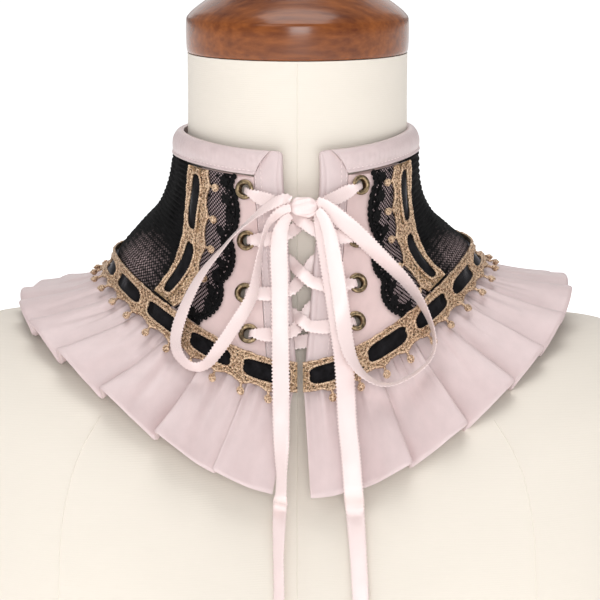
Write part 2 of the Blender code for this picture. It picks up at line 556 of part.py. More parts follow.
def side_seam_lay(side):
    """Lays u millimetres down the side seam from the band and v across it, v < 0 to the front."""
    places = np.linspace(BAND_FOOT, 5.6, 60)
    angles = seam_angle(side, places)
    line = surface(GARMENT_RINGS, places, side * angles)
    length = np.concatenate([[0], np.cumsum(np.linalg.norm(np.diff(line, axis=0), axis=1))])

    def lay(u, v, lift):
        place = np.interp(u, length, places)
        angle = seam_angle(side, place) + v / millimetres_per_degree(place, SIDE_SEAM)
        return cloth(place, side * angle, lift)

    def down_to(place):
        return float(np.interp(place, places, length))
    return lay, down_to


def neck_seam_lay():
    """Lays u millimetres round the neck seam, from the right front edge by way of the back."""
    angles = np.linspace(0, 360, 481)
    line = surface(GARMENT_RINGS, NECK_SEAM, angles)
    length = np.concatenate([[0], np.cumsum(np.linalg.norm(np.diff(line, axis=0), axis=1))])

    def lay(u, v, lift):
        u, v = np.broadcast_arrays(np.asarray(u, float), np.asarray(v, float))
        angle = np.interp(u, length, angles)
        place = np.full(u.shape, NECK_SEAM)
        steps = 6
        for _ in range(steps):
            place = place + v / steps / millimetres_per_ring(place, angle)
        return cloth(place, angle, lift)
    return lay, float(length[-1])


def window(start, period):
    """One rounded window of the braid."""
    left, right = start + BAR_LENGTH / 2, start + period - BAR_LENGTH / 2
    middle, inset, corner = (left + right) / 2, WINDOW_ROUNDING, WINDOW_HALF - WINDOW_ROUNDING
    return [(left, -corner), (left + inset, -WINDOW_HALF), (middle, -WINDOW_HALF),
            (right - inset, -WINDOW_HALF), (right, -corner), (right, corner), (right - inset, WINDOW_HALF),
            (middle, WINDOW_HALF), (left + inset, WINDOW_HALF), (left, corner)]


def picot_edge(start, end, picots):
    """The scalloped edge from start to end, with a picot at each of the given spots."""
    edge = [(start, SCALLOP_DIP)]
    ends = [2 * start - picots[0]] + list(picots) + [2 * end - picots[-1]]
    for before, here, after in zip(ends, ends[1:], ends[2:]):
        edge.append((here - SCALLOP_SHARE * (here - before), SCALLOP_DIP))
        edge += [(here + p.across, SCALLOP_REACH + p.out) for p in PICOT_OUTLINE]
        edge.append((here + SCALLOP_SHARE * (after - here), SCALLOP_DIP))
    return edge + [(end, SCALLOP_DIP)]


def braid(name, lay, start, end, windows, picots):
    """A strip of the gold braid with its windows spaced evenly from start to end."""
    period = (end - start) / windows
    rail = [(u, RAIL_EDGE) for u in np.linspace(end, start, windows * 3 + 1)]
    holes = [window(start + period * i, period) for i in range(windows)]
    outline = picot_edge(start, end, picots) + rail
    plate(name, outline, holes, lay, BRAID_LIFT, BRAID_LIFT + BRAID_WALL, "braid")


def flat_strip(name, lay, start, end, half, columns, finish):
    """A plain strip of ribbon laid along a seam under the braid."""
    u = np.linspace(start, end, columns)[:, None]
    v = np.array([-half, 0.0, half])[None, :]
    low, high = VELVET_LIFT, VELVET_LIFT + TRIM_WALL
    wall(name, lay(u + 0 * v, v + 0 * u, high), lay(u + 0 * v, v + 0 * u, low), finish)


def neck_trim():
    """The braid and its velvet round the neck seam, from one front edge to the other."""
    lay, length = neck_seam_lay()
    first = float(table_value(FRONT_EDGES, "right", NECK_SEAM))
    last = length - float(table_value(FRONT_EDGES, "left", NECK_SEAM))
    picots = np.linspace(first + PICOT_END, last - PICOT_END, NECK_PICOTS)
    braid("braid_neck", lay, first, last, NECK_WINDOWS, picots)
    columns = 3 * NECK_WINDOWS + 1
    flat_strip("velvet_neck", lay, first + TRIM_CLEAR, last - TRIM_CLEAR, VELVET_HALF, columns, "velvet")


def side_trim(side):
    """The upright braid and its velvet over the seam between front and back panels."""
    lay, down_to = side_seam_lay(side)
    top, foot = down_to(BAND_FOOT) + TRIM_CLEAR, down_to(NECK_SEAM) + RAIL_EDGE - SIDE_BRAID_CLEAR
    picots = [top + (foot - top) * share for share in SIDE_PICOT_SHARES]

    def facing_front(u, v, lift):
        slanted = SIDE_BRAID_SLANT * v * np.clip((u - top) / (foot - top), 0, 1) ** 2
        return lay(u + slanted, -np.asarray(v, float), lift)
    braid("braid_side_" + side_name(side), facing_front, top, foot, SIDE_BRAID_WINDOWS, picots)
    end = down_to(NECK_SEAM) - VELVET_HALF - SIDE_VELVET_CLEAR
    flat_strip("velvet_side_" + side_name(side), lay, top, end, VELVET_HALF, 14, "velvet")


def lace(side):
    """The lace insert on the front panel, with its scalloped front edge."""
    places = np.linspace(BAND_FOOT + SEAM_GAP, LACE_FOOT, 25)
    wave = np.abs(np.sin(math.pi * (places - FIRST_LACE_NOTCH) / LACE_SCALLOP_PITCH)) ** 0.7
    per_degree = millimetres_per_degree(places, side * PANEL_MIDDLE)
    notch = table_value(SEAM_ANGLES, "lace_" + side_name(side), places)
    front = notch - (wave - 0.5) * LACE_SCALLOP_DEPTH / per_degree
    back = seam_angle(side, places) - (VELVET_HALF + TRIM_CLEAR) / per_degree
    share = np.linspace(0, 1, 3)[None, :]
    angles = side * (front[:, None] + (back - front)[:, None] * share)
    places = places[:, None]
    outer, inner = cloth(places, angles, GAP + TRIM_WALL), cloth(places, angles, GAP)
    wall("lace_" + side_name(side), outer, inner, "lace")


def eyelets(side):
    for eyelet in EYELETS:
        place, angle = eyelet_spot(side, eyelet)
        centre = cloth(place, angle)
        axis = cloth(place, angle, 1.0) - centre
        name = "eyelet_%s_%d" % (side_name(side), eyelet.row)
        turned(name, EYELET_PROFILE, centre, axis, EYELET_SIDES, "brass", True)


def fold_columns(folds):
    """Angle back from the front edge, height from 0 to 1, depth and overhang, column by column."""
    columns = [(0.0, FRONT_EDGE_HEIGHT, folds[0].depth, 0.0)]
    valley = 0.0
    for fold in folds:
        for point in FOLD_SECTION:
            angle = valley + (fold.ridge - valley) * point.rising + FOLD_DROP_WIDTH * point.dropping
            columns.append((angle, point.height, fold.depth, point.over * FOLD_OVERHANG))
        valley = fold.ridge + FOLD_DROP_WIDTH
    return np.array(columns).T


def ruffle():
    """The gathered ruffle below the neck seam, open at the centre front."""
    places = np.array(RUFFLE_ROWS)[:, None]
    spread = (places - RUFFLE_ROWS[0]) / (HEM - RUFFLE_ROWS[0])
    sink = FOLD_SINK * np.clip(spread * SINK_SPEED, 0, 1)
    rise = FOLD_RISE * np.clip((places - RISE_START) / (HEM - RISE_START), 0, 1)
    angles, lifts = [], []
    for side, folds in ((1, RIGHT_FOLDS), (-1, LEFT_FOLDS)):
        back, height, depth, over = fold_columns(folds)
        edge = side * front_angle(side, places)
        angles.append(side * (back + edge * (1 - back / 180) ** 2 + over * spread))
        lifts.append(depth * (rise * height - sink * (1 - height)) - RUFFLE_ROOT_SINK * (1 - spread))
    angle = np.concatenate([angles[0], 360 + angles[1][:, ::-1]], 1)
    lift = np.concatenate([lifts[0], lifts[1][:, ::-1]], 1)
    outer = cloth(places, angle, lift)
    down = np.gradient(outer, axis=0)
    around = np.gradient(outer, axis=1)
    wall("ruffle", outer, outer - unit(np.cross(down, around)) * RUFFLE_WALL, "satin")


def smooth_path(points, steps):
    """Rows along a smooth curve through the given rows."""
    return blend(points, np.linspace(0, len(points) - 1, steps))


def ribbon(name, line, facing, widths, finish="ribbon"):
    """A ribbon of rectangular section along a line, with its face turned to facing."""
    tangent = unit(np.gradient(line, axis=0))
    across = unit(np.cross(tangent, facing))
    normal = unit(np.cross(across, tangent))
    half = widths[:, None] / 2
    thick = RIBBON_WALL / 2
    rings = np.stack([line + across * half + normal * thick, line - across * half + normal * thick,
                      line - across * half - normal * thick, line + across * half - normal * thick], 1)
    count = len(line)
    faces = [[0, 1, 2, 3], [4 * count - 4, 4 * count - 3, 4 * count - 2, 4 * count - 1]]
    for i in range(count - 1):
        for j in range(4):
            k = (j + 1) % 4
            faces.append([4 * i + j, 4 * i + k, 4 * i + 4 + k, 4 * i + 4 + j])
    return add_object(name, rings, faces, finish)


def crossings():
    """The ribbon from each eyelet over its own placket and under the other to the next one up."""
    for side in (-1, 1):
        for lower, upper in zip(EYELETS[1:], EYELETS[:-1]):
            start, end = eyelet_spot(side, lower), eyelet_spot(-side, upper)
            rows = smooth_path([(s.way, s.climb, s.lift_left if side < 0 else s.lift_right, s.width)
                                for s in CROSSING], 23)
            place = start[0] + (end[0] - start[0]) * rows[:, 1]
            stops = [start[1], front_angle(side, place[7]), front_angle(-side, place[18]), end[1]]
            angle = np.interp(rows[:, 0], [0, 1, 2, 3], stops)
            line = cloth(place, angle, rows[:, 2])
            facing = cloth(place, angle, rows[:, 2] + 1) - line
            name = "ribbon_cross_%s_%d" % (side_name(side), lower.row)
            ribbon(name, line, facing, rows[:, 3])


def bottom_bar():
    """The ribbon behind both plackets between the two lowest eyelets."""
    left, right = eyelet_spot(-1, EYELETS[-1]), eyelet_spot(1, EYELETS[-1])
    share = np.linspace(0, 1, 9)
    place = left[0] + (right[0] - left[0]) * share
    angle = left[1] + (right[1] - left[1]) * share
    line = cloth(place, angle, BOTTOM_BAR_LIFT)
    facing = cloth(place, angle, BOTTOM_BAR_LIFT + 1) - line
    ribbon("ribbon_bottom_bar", line, facing, np.full(len(share), BOTTOM_BAR_WIDTH))


def front_depth(across, up):
    """How far back the cloth, or below the hem the form, lies at a place seen from the front."""
    best = []
    for x, z in zip(across, up):
        depths = []
        for rings in (GARMENT_RINGS, FORM_RINGS):
            places = np.linspace(0, len(rings) - 1, 160)
            angle = np.zeros(len(places))
            for _ in range(6):
                spot = surface(rings, places, angle)
                angle = angle + (x - spot[:, 0]) / millimetres_per_degree(3.0, 0)
            spot = surface(rings, places, angle)
            order = np.argsort(spot[:, 2])
            depth = np.interp(z, spot[order, 2], spot[order, 1], left=200.0, right=200.0)
            depths.append(depth)
        best.append(min(depths))
    return np.array(best)


def ply_ribbon(name, plies, steps):
    """A free stretch of ribbon from its table of plies."""
    rows = smooth_path(plies, steps)
    across, up, lift, width, turn = rows.T
    depth = np.minimum(front_depth(across, up), front_depth(across, up + HEM_CLEARANCE)) - lift
    line = np.stack([across, depth, up], 1)
    tangent = unit(np.gradient(line, axis=0))
    front = np.array([0.0, -1.0, 0.0]) + 0 * line
    flat = unit(front - tangent * (front * tangent).sum(1, keepdims=True))
    sideways = np.cross(tangent, flat)
    angle = np.radians(turn)[:, None]
    ribbon(name, line, flat * np.cos(angle) + sideways * np.sin(angle), width)


def bow():
    """The knot, its two loops and two tails, and the stretches from the top eyelets."""
    ply_ribbon("ribbon_top_left", TOP_LEFT, 11)
    ply_ribbon("ribbon_top_right", TOP_RIGHT, 11)
    ply_ribbon("bow_loop_left", LOOP_LEFT, 31)
    ply_ribbon("bow_loop_right", LOOP_RIGHT, 31)
    ply_ribbon("tail_left", TAIL_LEFT, 23)
    ply_ribbon("tail_right", TAIL_RIGHT, 21)
    knot = BOW_KNOT
    depth = front_depth([knot.across], [knot.up])[0] - knot.lift
    rows, columns = 7, 14
    polar = np.linspace(0, math.pi, rows)[1:-1, None]
    spin = np.linspace(0, 2 * math.pi, columns, endpoint=False)[None, :]

    def rounded(value):
        return np.sign(value) * np.abs(value) ** 0.7
    x = knot.across - knot.half_width * rounded(np.cos(polar)) + 0 * spin
    z = knot.up + knot.half_height * rounded(np.sin(polar)) * rounded(np.cos(spin))
    y = depth + knot.half_depth * rounded(np.sin(polar)) * rounded(np.sin(spin))
    grid = np.stack([x, y, z], -1)
    faces = [list(range(columns)), list(range((rows - 3) * columns, (rows - 2) * columns))]
    for i in range(rows - 3):
        for j in range(columns):
            k = (j + 1) % columns
            faces.append([i * columns + j, i * columns + k, (i + 1) * columns + k, (i + 1) * columns + j])
    add_object("bow_knot", grid, faces, "ribbon")


def build():
    for old in list(bpy.data.objects):
        bpy.data.objects.remove(old, do_unlink=True)
    dress_form()
    top_band()
    for side in (-1, 1):
        placket(side)
        front_panel(side)
        back_panel(side)
        lace(side)
        side_trim(side)
        eyelets(side)
    neck_trim()
    ruffle()
    crossings()
    bottom_bar()
    bow()


build()
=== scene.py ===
"""The look of the laced neck corset on its dress form.

Every piece is laid on the same rings as the CAD solids: millimetres and degrees about the
neck's axis, angle 0 at the centre front. Only add() turns them into metres in the frame.
"""
import json
import math
from collections import namedtuple

import bpy
import numpy as np
from mathutils import Vector
from mathutils.geometry import delaunay_2d_cdt
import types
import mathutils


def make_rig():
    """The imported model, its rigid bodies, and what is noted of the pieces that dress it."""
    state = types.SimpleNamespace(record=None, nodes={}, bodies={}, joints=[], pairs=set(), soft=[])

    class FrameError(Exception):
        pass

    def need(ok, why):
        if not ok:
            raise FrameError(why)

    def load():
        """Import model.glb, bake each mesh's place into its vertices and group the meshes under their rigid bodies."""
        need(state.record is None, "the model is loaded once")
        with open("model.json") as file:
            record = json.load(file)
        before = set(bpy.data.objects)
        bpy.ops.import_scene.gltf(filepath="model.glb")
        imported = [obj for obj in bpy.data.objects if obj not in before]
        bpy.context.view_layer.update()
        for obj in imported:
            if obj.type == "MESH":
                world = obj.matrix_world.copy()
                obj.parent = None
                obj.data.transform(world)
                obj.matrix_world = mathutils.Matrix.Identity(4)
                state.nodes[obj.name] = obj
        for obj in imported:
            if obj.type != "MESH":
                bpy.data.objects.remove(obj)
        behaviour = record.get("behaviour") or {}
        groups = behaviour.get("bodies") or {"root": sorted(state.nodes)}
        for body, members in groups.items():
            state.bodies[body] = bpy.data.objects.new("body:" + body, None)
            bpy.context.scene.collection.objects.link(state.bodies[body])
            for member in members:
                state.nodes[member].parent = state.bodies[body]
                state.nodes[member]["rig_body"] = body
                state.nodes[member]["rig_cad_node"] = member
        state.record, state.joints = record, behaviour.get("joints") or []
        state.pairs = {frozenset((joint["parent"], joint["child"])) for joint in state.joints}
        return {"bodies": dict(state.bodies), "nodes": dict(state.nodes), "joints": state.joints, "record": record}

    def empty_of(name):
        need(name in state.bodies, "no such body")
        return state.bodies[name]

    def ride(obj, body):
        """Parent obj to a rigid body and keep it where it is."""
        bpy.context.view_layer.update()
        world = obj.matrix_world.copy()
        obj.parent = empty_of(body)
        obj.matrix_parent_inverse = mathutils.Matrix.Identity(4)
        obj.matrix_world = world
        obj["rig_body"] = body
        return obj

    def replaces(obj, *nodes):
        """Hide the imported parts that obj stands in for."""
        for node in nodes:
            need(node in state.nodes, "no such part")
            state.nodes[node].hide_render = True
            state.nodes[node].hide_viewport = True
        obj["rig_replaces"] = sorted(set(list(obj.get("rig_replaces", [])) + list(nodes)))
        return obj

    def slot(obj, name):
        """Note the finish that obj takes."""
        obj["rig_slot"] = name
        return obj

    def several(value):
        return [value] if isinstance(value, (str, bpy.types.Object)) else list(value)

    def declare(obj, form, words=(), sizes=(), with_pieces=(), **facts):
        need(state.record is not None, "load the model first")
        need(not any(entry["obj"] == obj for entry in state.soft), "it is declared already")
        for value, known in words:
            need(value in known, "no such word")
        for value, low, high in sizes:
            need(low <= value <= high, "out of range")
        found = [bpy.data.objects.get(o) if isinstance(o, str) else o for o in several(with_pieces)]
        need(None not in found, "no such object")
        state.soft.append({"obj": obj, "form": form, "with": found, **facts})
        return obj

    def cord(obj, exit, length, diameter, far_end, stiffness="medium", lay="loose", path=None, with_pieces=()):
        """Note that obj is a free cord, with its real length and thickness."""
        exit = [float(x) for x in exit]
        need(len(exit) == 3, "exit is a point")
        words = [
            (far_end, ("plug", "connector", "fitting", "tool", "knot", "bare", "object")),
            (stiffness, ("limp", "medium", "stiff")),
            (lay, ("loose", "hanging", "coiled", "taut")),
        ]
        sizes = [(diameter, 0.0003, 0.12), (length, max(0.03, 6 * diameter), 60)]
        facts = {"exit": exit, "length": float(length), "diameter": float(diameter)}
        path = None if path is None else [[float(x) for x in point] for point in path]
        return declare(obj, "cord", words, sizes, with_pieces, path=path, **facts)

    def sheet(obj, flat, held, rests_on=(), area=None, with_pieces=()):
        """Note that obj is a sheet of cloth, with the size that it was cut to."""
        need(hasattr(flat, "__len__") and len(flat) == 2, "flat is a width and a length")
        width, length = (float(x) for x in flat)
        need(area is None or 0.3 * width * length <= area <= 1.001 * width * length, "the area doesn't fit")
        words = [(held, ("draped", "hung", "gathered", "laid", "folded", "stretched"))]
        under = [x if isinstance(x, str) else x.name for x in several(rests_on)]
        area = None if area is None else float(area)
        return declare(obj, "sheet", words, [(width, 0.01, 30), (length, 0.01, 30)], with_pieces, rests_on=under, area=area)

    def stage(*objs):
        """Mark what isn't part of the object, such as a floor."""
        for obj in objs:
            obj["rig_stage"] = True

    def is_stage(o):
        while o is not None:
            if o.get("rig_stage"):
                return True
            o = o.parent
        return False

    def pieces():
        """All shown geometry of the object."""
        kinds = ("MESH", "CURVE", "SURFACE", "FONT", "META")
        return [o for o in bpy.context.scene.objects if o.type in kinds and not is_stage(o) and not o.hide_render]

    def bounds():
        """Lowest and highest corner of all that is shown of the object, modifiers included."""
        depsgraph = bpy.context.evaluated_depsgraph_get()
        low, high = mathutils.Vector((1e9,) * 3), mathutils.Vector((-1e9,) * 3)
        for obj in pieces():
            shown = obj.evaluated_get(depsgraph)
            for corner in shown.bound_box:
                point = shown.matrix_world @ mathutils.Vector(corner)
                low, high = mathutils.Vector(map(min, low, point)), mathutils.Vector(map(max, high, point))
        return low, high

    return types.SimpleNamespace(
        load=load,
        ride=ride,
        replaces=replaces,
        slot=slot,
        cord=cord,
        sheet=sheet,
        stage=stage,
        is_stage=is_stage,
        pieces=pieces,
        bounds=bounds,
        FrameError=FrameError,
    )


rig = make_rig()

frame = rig.load()
cad_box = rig.bounds()

MM = 0.001
NECK_MIDDLE = 260.0
GAP = 0.3
# Steps, in places and degrees, for slopes of the surface, and the flat drawing of the front's pieces:
# millimetres for each place, and the angle that stands for the whole piece.
PLACE_STEP, ANGLE_STEP = 0.02, 0.5
FLAT_SCALE, FRONT_MIDDLE, SEAM_MIDDLE = 19.0, 30.0, 50.0
MESH_HEIGHT = 75

# ------------------------- sizes, as in the CAD except for finer walls, windows and ribbon
Ring = namedtuple("Ring", "side_r side_z front_r front_z back_r back_z square dip tilt turn lean rise",
                  defaults=(2.0, 2.0, 0.0, 0.0, 0.0, 0.0))
GARMENT_RINGS = [
    Ring(56.4, 87.0, 60.0, 82.0, 60.0, 88.0, 2.0, 2.0, 0.012, 1.3, -1.0),
    Ring(60.8, 75.2, 60.5, 69.5, 61.5, 73.0, 2.0, 1.95, 0.014, 1.2, -0.8),
    Ring(62.8, 59.5, 64.0, 46.0, 63.0, 59.0, 2.0, 1.9, -0.015, 1.1, -1.6),
    Ring(68.0, 47.5, 68.5, 24.0, 67.0, 48.0, 2.0, 1.85, -0.025, 1.0, -1.2),
    Ring(76.8, 38.6, 74.0, 4.0, 73.0, 38.0, 2.0, 1.8, -0.010, 0.9, -1.6),
    Ring(86.2, 28.6, 81.5, -15.9, 81.5, 27.0, 2.0, 1.75, 0.010, 0.9, -1.8),
    Ring(94.0, 16.6, 88.0, -29.4, 89.5, 15.0, 2.0, 1.75, 0.022, 0.9, -1.8),
    Ring(137.0, 5.2, 110.0, -74.0, 114.0, -19.0, 2.25, 1.95, -0.020, 2.0, -1.2, 0.045),
]
TOP, BAND_FOOT, BRAID_TOP, NECK_SEAM, HEM = 0.0, 1.0, 5.1, 5.64, 7.0
FORM_RINGS = [
    Ring(54.1, 124.0, 54.1, 124.0, 54.1, 124.0),
    Ring(54.1, 90.0, 54.1, 90.0, 54.1, 90.0),
    Ring(55.4, 58.0, 56.0, 50.0, 55.4, 60.0),
    Ring(60.0, 42.0, 59.0, 22.0, 60.0, 42.0),
    Ring(69.0, 23.5, 65.0, -6.0, 68.0, 22.0, 2.05, 1.8),
    Ring(89.0, 5.0, 74.0, -36.0, 82.0, 1.0, 2.1, 1.8),
    Ring(126.0, -6.8, 85.0, -64.0, 101.0, -30.0, 2.1, 1.8, -0.008),
    Ring(158.0, -11.4, 103.0, -92.0, 115.0, -52.0, 2.2, 1.7, -0.010),
    Ring(182.0, -27.0, 121.0, -124.0, 123.0, -85.0, 2.3, 1.6),
    Ring(190.0, -70.0, 134.0, -152.0, 127.0, -125.0, 2.4, 1.6),
    Ring(183.0, -135.0, 136.0, -190.0, 121.0, -180.0, 2.4),
    Ring(166.0, -205.0, 128.0, -228.0, 110.0, -225.0, 2.35),
    Ring(150.0, -NECK_MIDDLE, 119.0, -NECK_MIDDLE, 102.0, -NECK_MIDDLE, 2.3),
]
NECK_SET_BACK = (max(r.front_r for r in FORM_RINGS) - max(r.back_r for r in FORM_RINGS)) / 2
CAP_PROFILE = [
    (53.0, 124.3), (54.5, 126.0), (54.8, 139.0), (53.2, 143.0), (48.0, 147.5), (37.0, 155.5), (26.0, 166.0),
    (17.0, 174.0), (13.0, 179.0), (14.5, 184.0), (19.0, 190.0), (19.5, 197.0), (14.0, 203.5), (6.0, 206.0),
]
FrontEdge = namedtuple("FrontEdge", "place left right")
FRONT_EDGES = [
    FrontEdge(0.0, 8.5, 9.0), FrontEdge(1.0, 8.3, 9.8), FrontEdge(2.0, 6.4, 8.4),
    FrontEdge(3.0, 4.4, 6.1), FrontEdge(4.0, 3.4, 4.8), FrontEdge(5.0, 1.8, 2.4),
    FrontEdge(5.6, 1.2, 1.2), FrontEdge(6.0, 2.4, 2.0), FrontEdge(7.0, 17.0, 2.6),
]
PLACKET_WIDTH, MITRE_AT_TOP, CORNER_RADIUS = 14.0, 5.5, 3.5
Eyelet = namedtuple("Eyelet", "row left_place left_angle right_place right_angle")
EYELETS = [
    Eyelet(1, 1.35, 24.9, 1.30, 28.4), Eyelet(2, 2.44, 22.4, 2.36, 24.4),
    Eyelet(3, 3.69, 21.0, 3.44, 23.0), Eyelet(4, 4.58, 17.8, 4.36, 20.4),
]
EYELET_PROFILE = [
    (2.5, -1.9), (2.9, -1.9), (2.9, 0.55), (4.4, 0.5), (4.78, 0.62), (4.8, 0.85), (4.55, 1.2),
    (4.1, 1.45), (3.6, 1.55), (3.1, 1.45), (2.7, 1.1), (2.52, 0.5), (2.5, -0.6),
]
SeamAngle = namedtuple("SeamAngle", "place seam_left seam_right lace_left lace_right")
SEAM_ANGLES = [
    SeamAngle(1.0, 50.2, 53.8, 30.5, 35.5), SeamAngle(2.0, 48.4, 51.7, 28.0, 33.0),
    SeamAngle(3.0, 46.0, 49.8, 28.0, 32.0), SeamAngle(4.0, 44.8, 49.8, 29.5, 32.5),
    SeamAngle(5.0, 48.3, 53.5, 34.5, 36.0), SeamAngle(5.7, 51.8, 56.0, 37.5, 39.0),
]
FIRST_LACE_NOTCH, LACE_SCALLOP_PITCH, LACE_SCALLOP_DEPTH, LACE_FOOT = 1.29, 1.2, 4.0, 5.03
VELVET_HALF = 5.1
NECK_WINDOWS, NECK_PICOTS, PICOT_END = 19, 42, 13.2
BAR_LENGTH, WINDOW_HALF = 6.2, 4.5
RAIL_EDGE, SCALLOP_REACH, SCALLOP_DIP = -7.1, 8.6, 7.0
SIDE_BRAID_WINDOWS, SIDE_BRAID_CLEAR = 2, 0.2
SIDE_PICOT_SHARES = (0.1, 0.31, 0.52, 0.73, 0.94)
BRAID_BASE, BRAID_THICK, CORD, FINE_CORD = 1.85, 0.4, 0.6, 0.36
PICOT_TIP, PICOT_BEAD = 11.7, 1.62
BAND_STITCH_PLACE, PLACKET_STITCH_INSETS = 0.855, (10.6, 13.3)
Fold = namedtuple("Fold", "ridge depth")
LEFT_FOLDS = [
    Fold(13.5, 0.45), Fold(28.0, 1.0), Fold(42.0, 0.9), Fold(55.0, 1.0), Fold(67.5, 0.9),
    Fold(80.0, 0.8), Fold(93.0, 1.0), Fold(107.0, 0.8), Fold(119.0, 1.0), Fold(133.0, 0.9),
    Fold(146.0, 1.0), Fold(159.0, 0.8), Fold(171.0, 0.9),
]
RIGHT_FOLDS = [
    Fold(9.5, 0.35), Fold(23.0, 1.0), Fold(36.5, 1.1), Fold(49.0, 1.0), Fold(59.0, 0.7),
    Fold(69.5, 0.8), Fold(81.0, 0.9), Fold(94.0, 0.9), Fold(106.0, 0.9), Fold(120.0, 1.0),
    Fold(132.0, 0.8), Fold(145.0, 1.0), Fold(158.0, 0.9), Fold(170.0, 0.9),
]
FOLD_DROP_WIDTH, FOLD_OVERHANG, FOLD_SINK, FOLD_RISE = 2.6, 1.6, 4.6, 3.4
RUFFLE_TOP, RUFFLE_ROOT_SINK, RUFFLE_WALL = 5.70, 0.45, 1.7
BAND_WALL, PLACKET_WALL, PANEL_WALL, MESH_WALL = 1.2, 2.2, 1.5, 2.0
Stretch = namedtuple("Stretch", "way climb lift_left lift_right width")
CROSSING = [
    Stretch(0.00, 0.00, -0.8, -0.8, 2.6), Stretch(0.08, 0.02, 2.8, 2.8, 3.4),
    Stretch(0.30, 0.07, 2.4, 2.4, 6.2), Stretch(0.65, 0.15, 1.2, 1.2, 6.6),
    Stretch(0.95, 0.25, 1.7, 1.2, 5.8), Stretch(1.22, 0.37, -0.2, 1.5, 5.6),
    Stretch(1.48, 0.50, -3.0, 1.2, 5.6), Stretch(1.74, 0.63, -3.9, -2.4, 5.4),
    Stretch(2.00, 0.75, -3.8, -3.7, 5.4), Stretch(2.40, 0.86, -3.7, -3.7, 6.0),
    Stretch(3.00, 1.00, -3.6, -3.6, 4.0),
]
Ply = namedtuple("Ply", "across up lift width turn", defaults=(0,))
TOP_LEFT = [
    Ply(-25.2, 63.1, -0.2, 2.4), Ply(-23.2, 62.6, 3.4, 3.0), Ply(-18.7, 60.5, 2.6, 6.0),
    Ply(-13.0, 58.8, 2.6, 6.6), Ply(-5.4, 57.1, 4.2, 4.8), Ply(-3.0, 56.3, 5.0, 4.4),
]
TOP_RIGHT = [
    Ply(30.8, 65.1, -0.2, 2.4), Ply(28.8, 64.5, 3.4, 3.0), Ply(25.0, 63.2, 2.6, 6.0),
    Ply(19.2, 60.5, 2.6, 6.6), Ply(11.6, 57.7, 4.2, 5.6), Ply(9.2, 57.0, 5.0, 4.4),
]
LOOP_LEFT = [
    Ply(-3.1, 60.0, 8.0, 3.6), Ply(-6.5, 61.0, 9.0, 5.5, 35), Ply(-16.4, 55.6, 9.5, 7.2, 70),
    Ply(-27.0, 46.6, 9.5, 7.5, 88), Ply(-36.5, 35.8, 10.0, 7.5, 82), Ply(-47.4, 21.8, 10.0, 7.5, 65),
    Ply(-55.4, 4.8, 9.8, 7.5, 48), Ply(-57.8, -6.2, 9.8, 7.2, 42), Ply(-55.2, -12.8, 10.0, 7.2, 42),
    Ply(-49.2, -16.7, 10.2, 7.2, 45), Ply(-42.2, -15.0, 9.8, 7.2, 40), Ply(-34.8, -5.6, 9.2, 7.4, 30),
    Ply(-26.4, 6.5, 9.0, 7.5, 30), Ply(-20.4, 18.5, 9.5, 7.5, 48), Ply(-16.8, 39.3, 10.0, 7.5, 76),
    Ply(-12.9, 50.0, 10.0, 7.0, 60), Ply(-6.4, 56.0, 9.6, 4.5, 20), Ply(-3.1, 56.6, 9.0, 3.6),
]
LOOP_RIGHT = [
    Ply(9.3, 59.8, 8.0, 3.6), Ply(13.5, 57.4, 9.0, 6.0), Ply(21.0, 50.5, 9.0, 8.0),
    Ply(29.6, 42.6, 9.0, 8.0, 10), Ply(39.2, 32.6, 9.0, 8.0, 25), Ply(51.2, 20.6, 9.0, 8.0, 42),
    Ply(58.8, 10.3, 9.5, 8.0, 60), Ply(63.9, -0.7, 10.0, 7.6, 76), Ply(64.4, -9.0, 10.5, 7.2, 84),
    Ply(60.0, -15.9, 11.0, 7.0, 88), Ply(50.4, -21.4, 11.0, 7.0, 90), Ply(41.4, -23.6, 11.5, 7.0, 88),
    Ply(32.6, -20.2, 12.0, 7.0, 76), Ply(26.2, -13.3, 12.0, 7.2, 52), Ply(22.8, -3.1, 12.0, 7.5, 25),
    Ply(20.3, 13.8, 12.0, 7.5), Ply(17.6, 31.2, 12.0, 7.5), Ply(15.2, 44.5, 11.5, 6.5),
    Ply(11.9, 52.8, 10.0, 5.0), Ply(9.4, 55.6, 9.0, 3.6),
]
TAIL_LEFT = [
    Ply(-3.1, 52.6, 4.6, 3.0), Ply(-6.9, 48.6, 5.4, 6.2), Ply(-8.7, 38.9, 6.0, 8.2),
    Ply(-8.3, 21.8, 6.0, 8.2), Ply(-8.0, -2.2, 6.2, 8.0), Ply(-7.7, -26.0, 7.6, 8.0),
    Ply(-7.5, -43.3, 7.6, 7.6), Ply(-7.4, -54.5, 7.0, 6.6, 20), Ply(-7.4, -64.7, 7.0, 5.6, 35),
    Ply(-7.9, -75.6, 7.0, 6.2, 15), Ply(-8.4, -85.2, 6.0, 6.2), Ply(-8.8, -99.5, 5.0, 5.2, 20),
    Ply(-8.5, -118.1, 4.0, 5.2, 20), Ply(-8.3, -136.0, 3.0, 5.2, 20),
]
TAIL_RIGHT = [
    Ply(9.2, 53.6, 4.6, 3.4), Ply(11.3, 49.0, 5.2, 7.0), Ply(13.5, 38.7, 5.4, 8.4),
    Ply(16.3, 22.0, 5.6, 8.6), Ply(19.1, 4.2, 5.8, 8.8), Ply(21.6, -11.8, 7.4, 8.8),
    Ply(22.7, -26.1, 7.6, 8.8), Ply(23.3, -40.3, 7.6, 8.8), Ply(24.9, -54.5, 7.4, 8.8),
    Ply(26.1, -70.4, 7.0, 8.8), Ply(27.2, -83.7, 6.0, 8.6), Ply(28.3, -98.9, 5.5, 7.8),
    Ply(29.3, -117.8, 5.5, 7.6), Ply(30.2, -136.0, 6.0, 7.6),
]
BOTTOM_BAR_WIDTH, BOTTOM_BAR_LIFT, HEM_CLEARANCE = 6.5, -3.1, 5.0
NOWHERE = 200.0
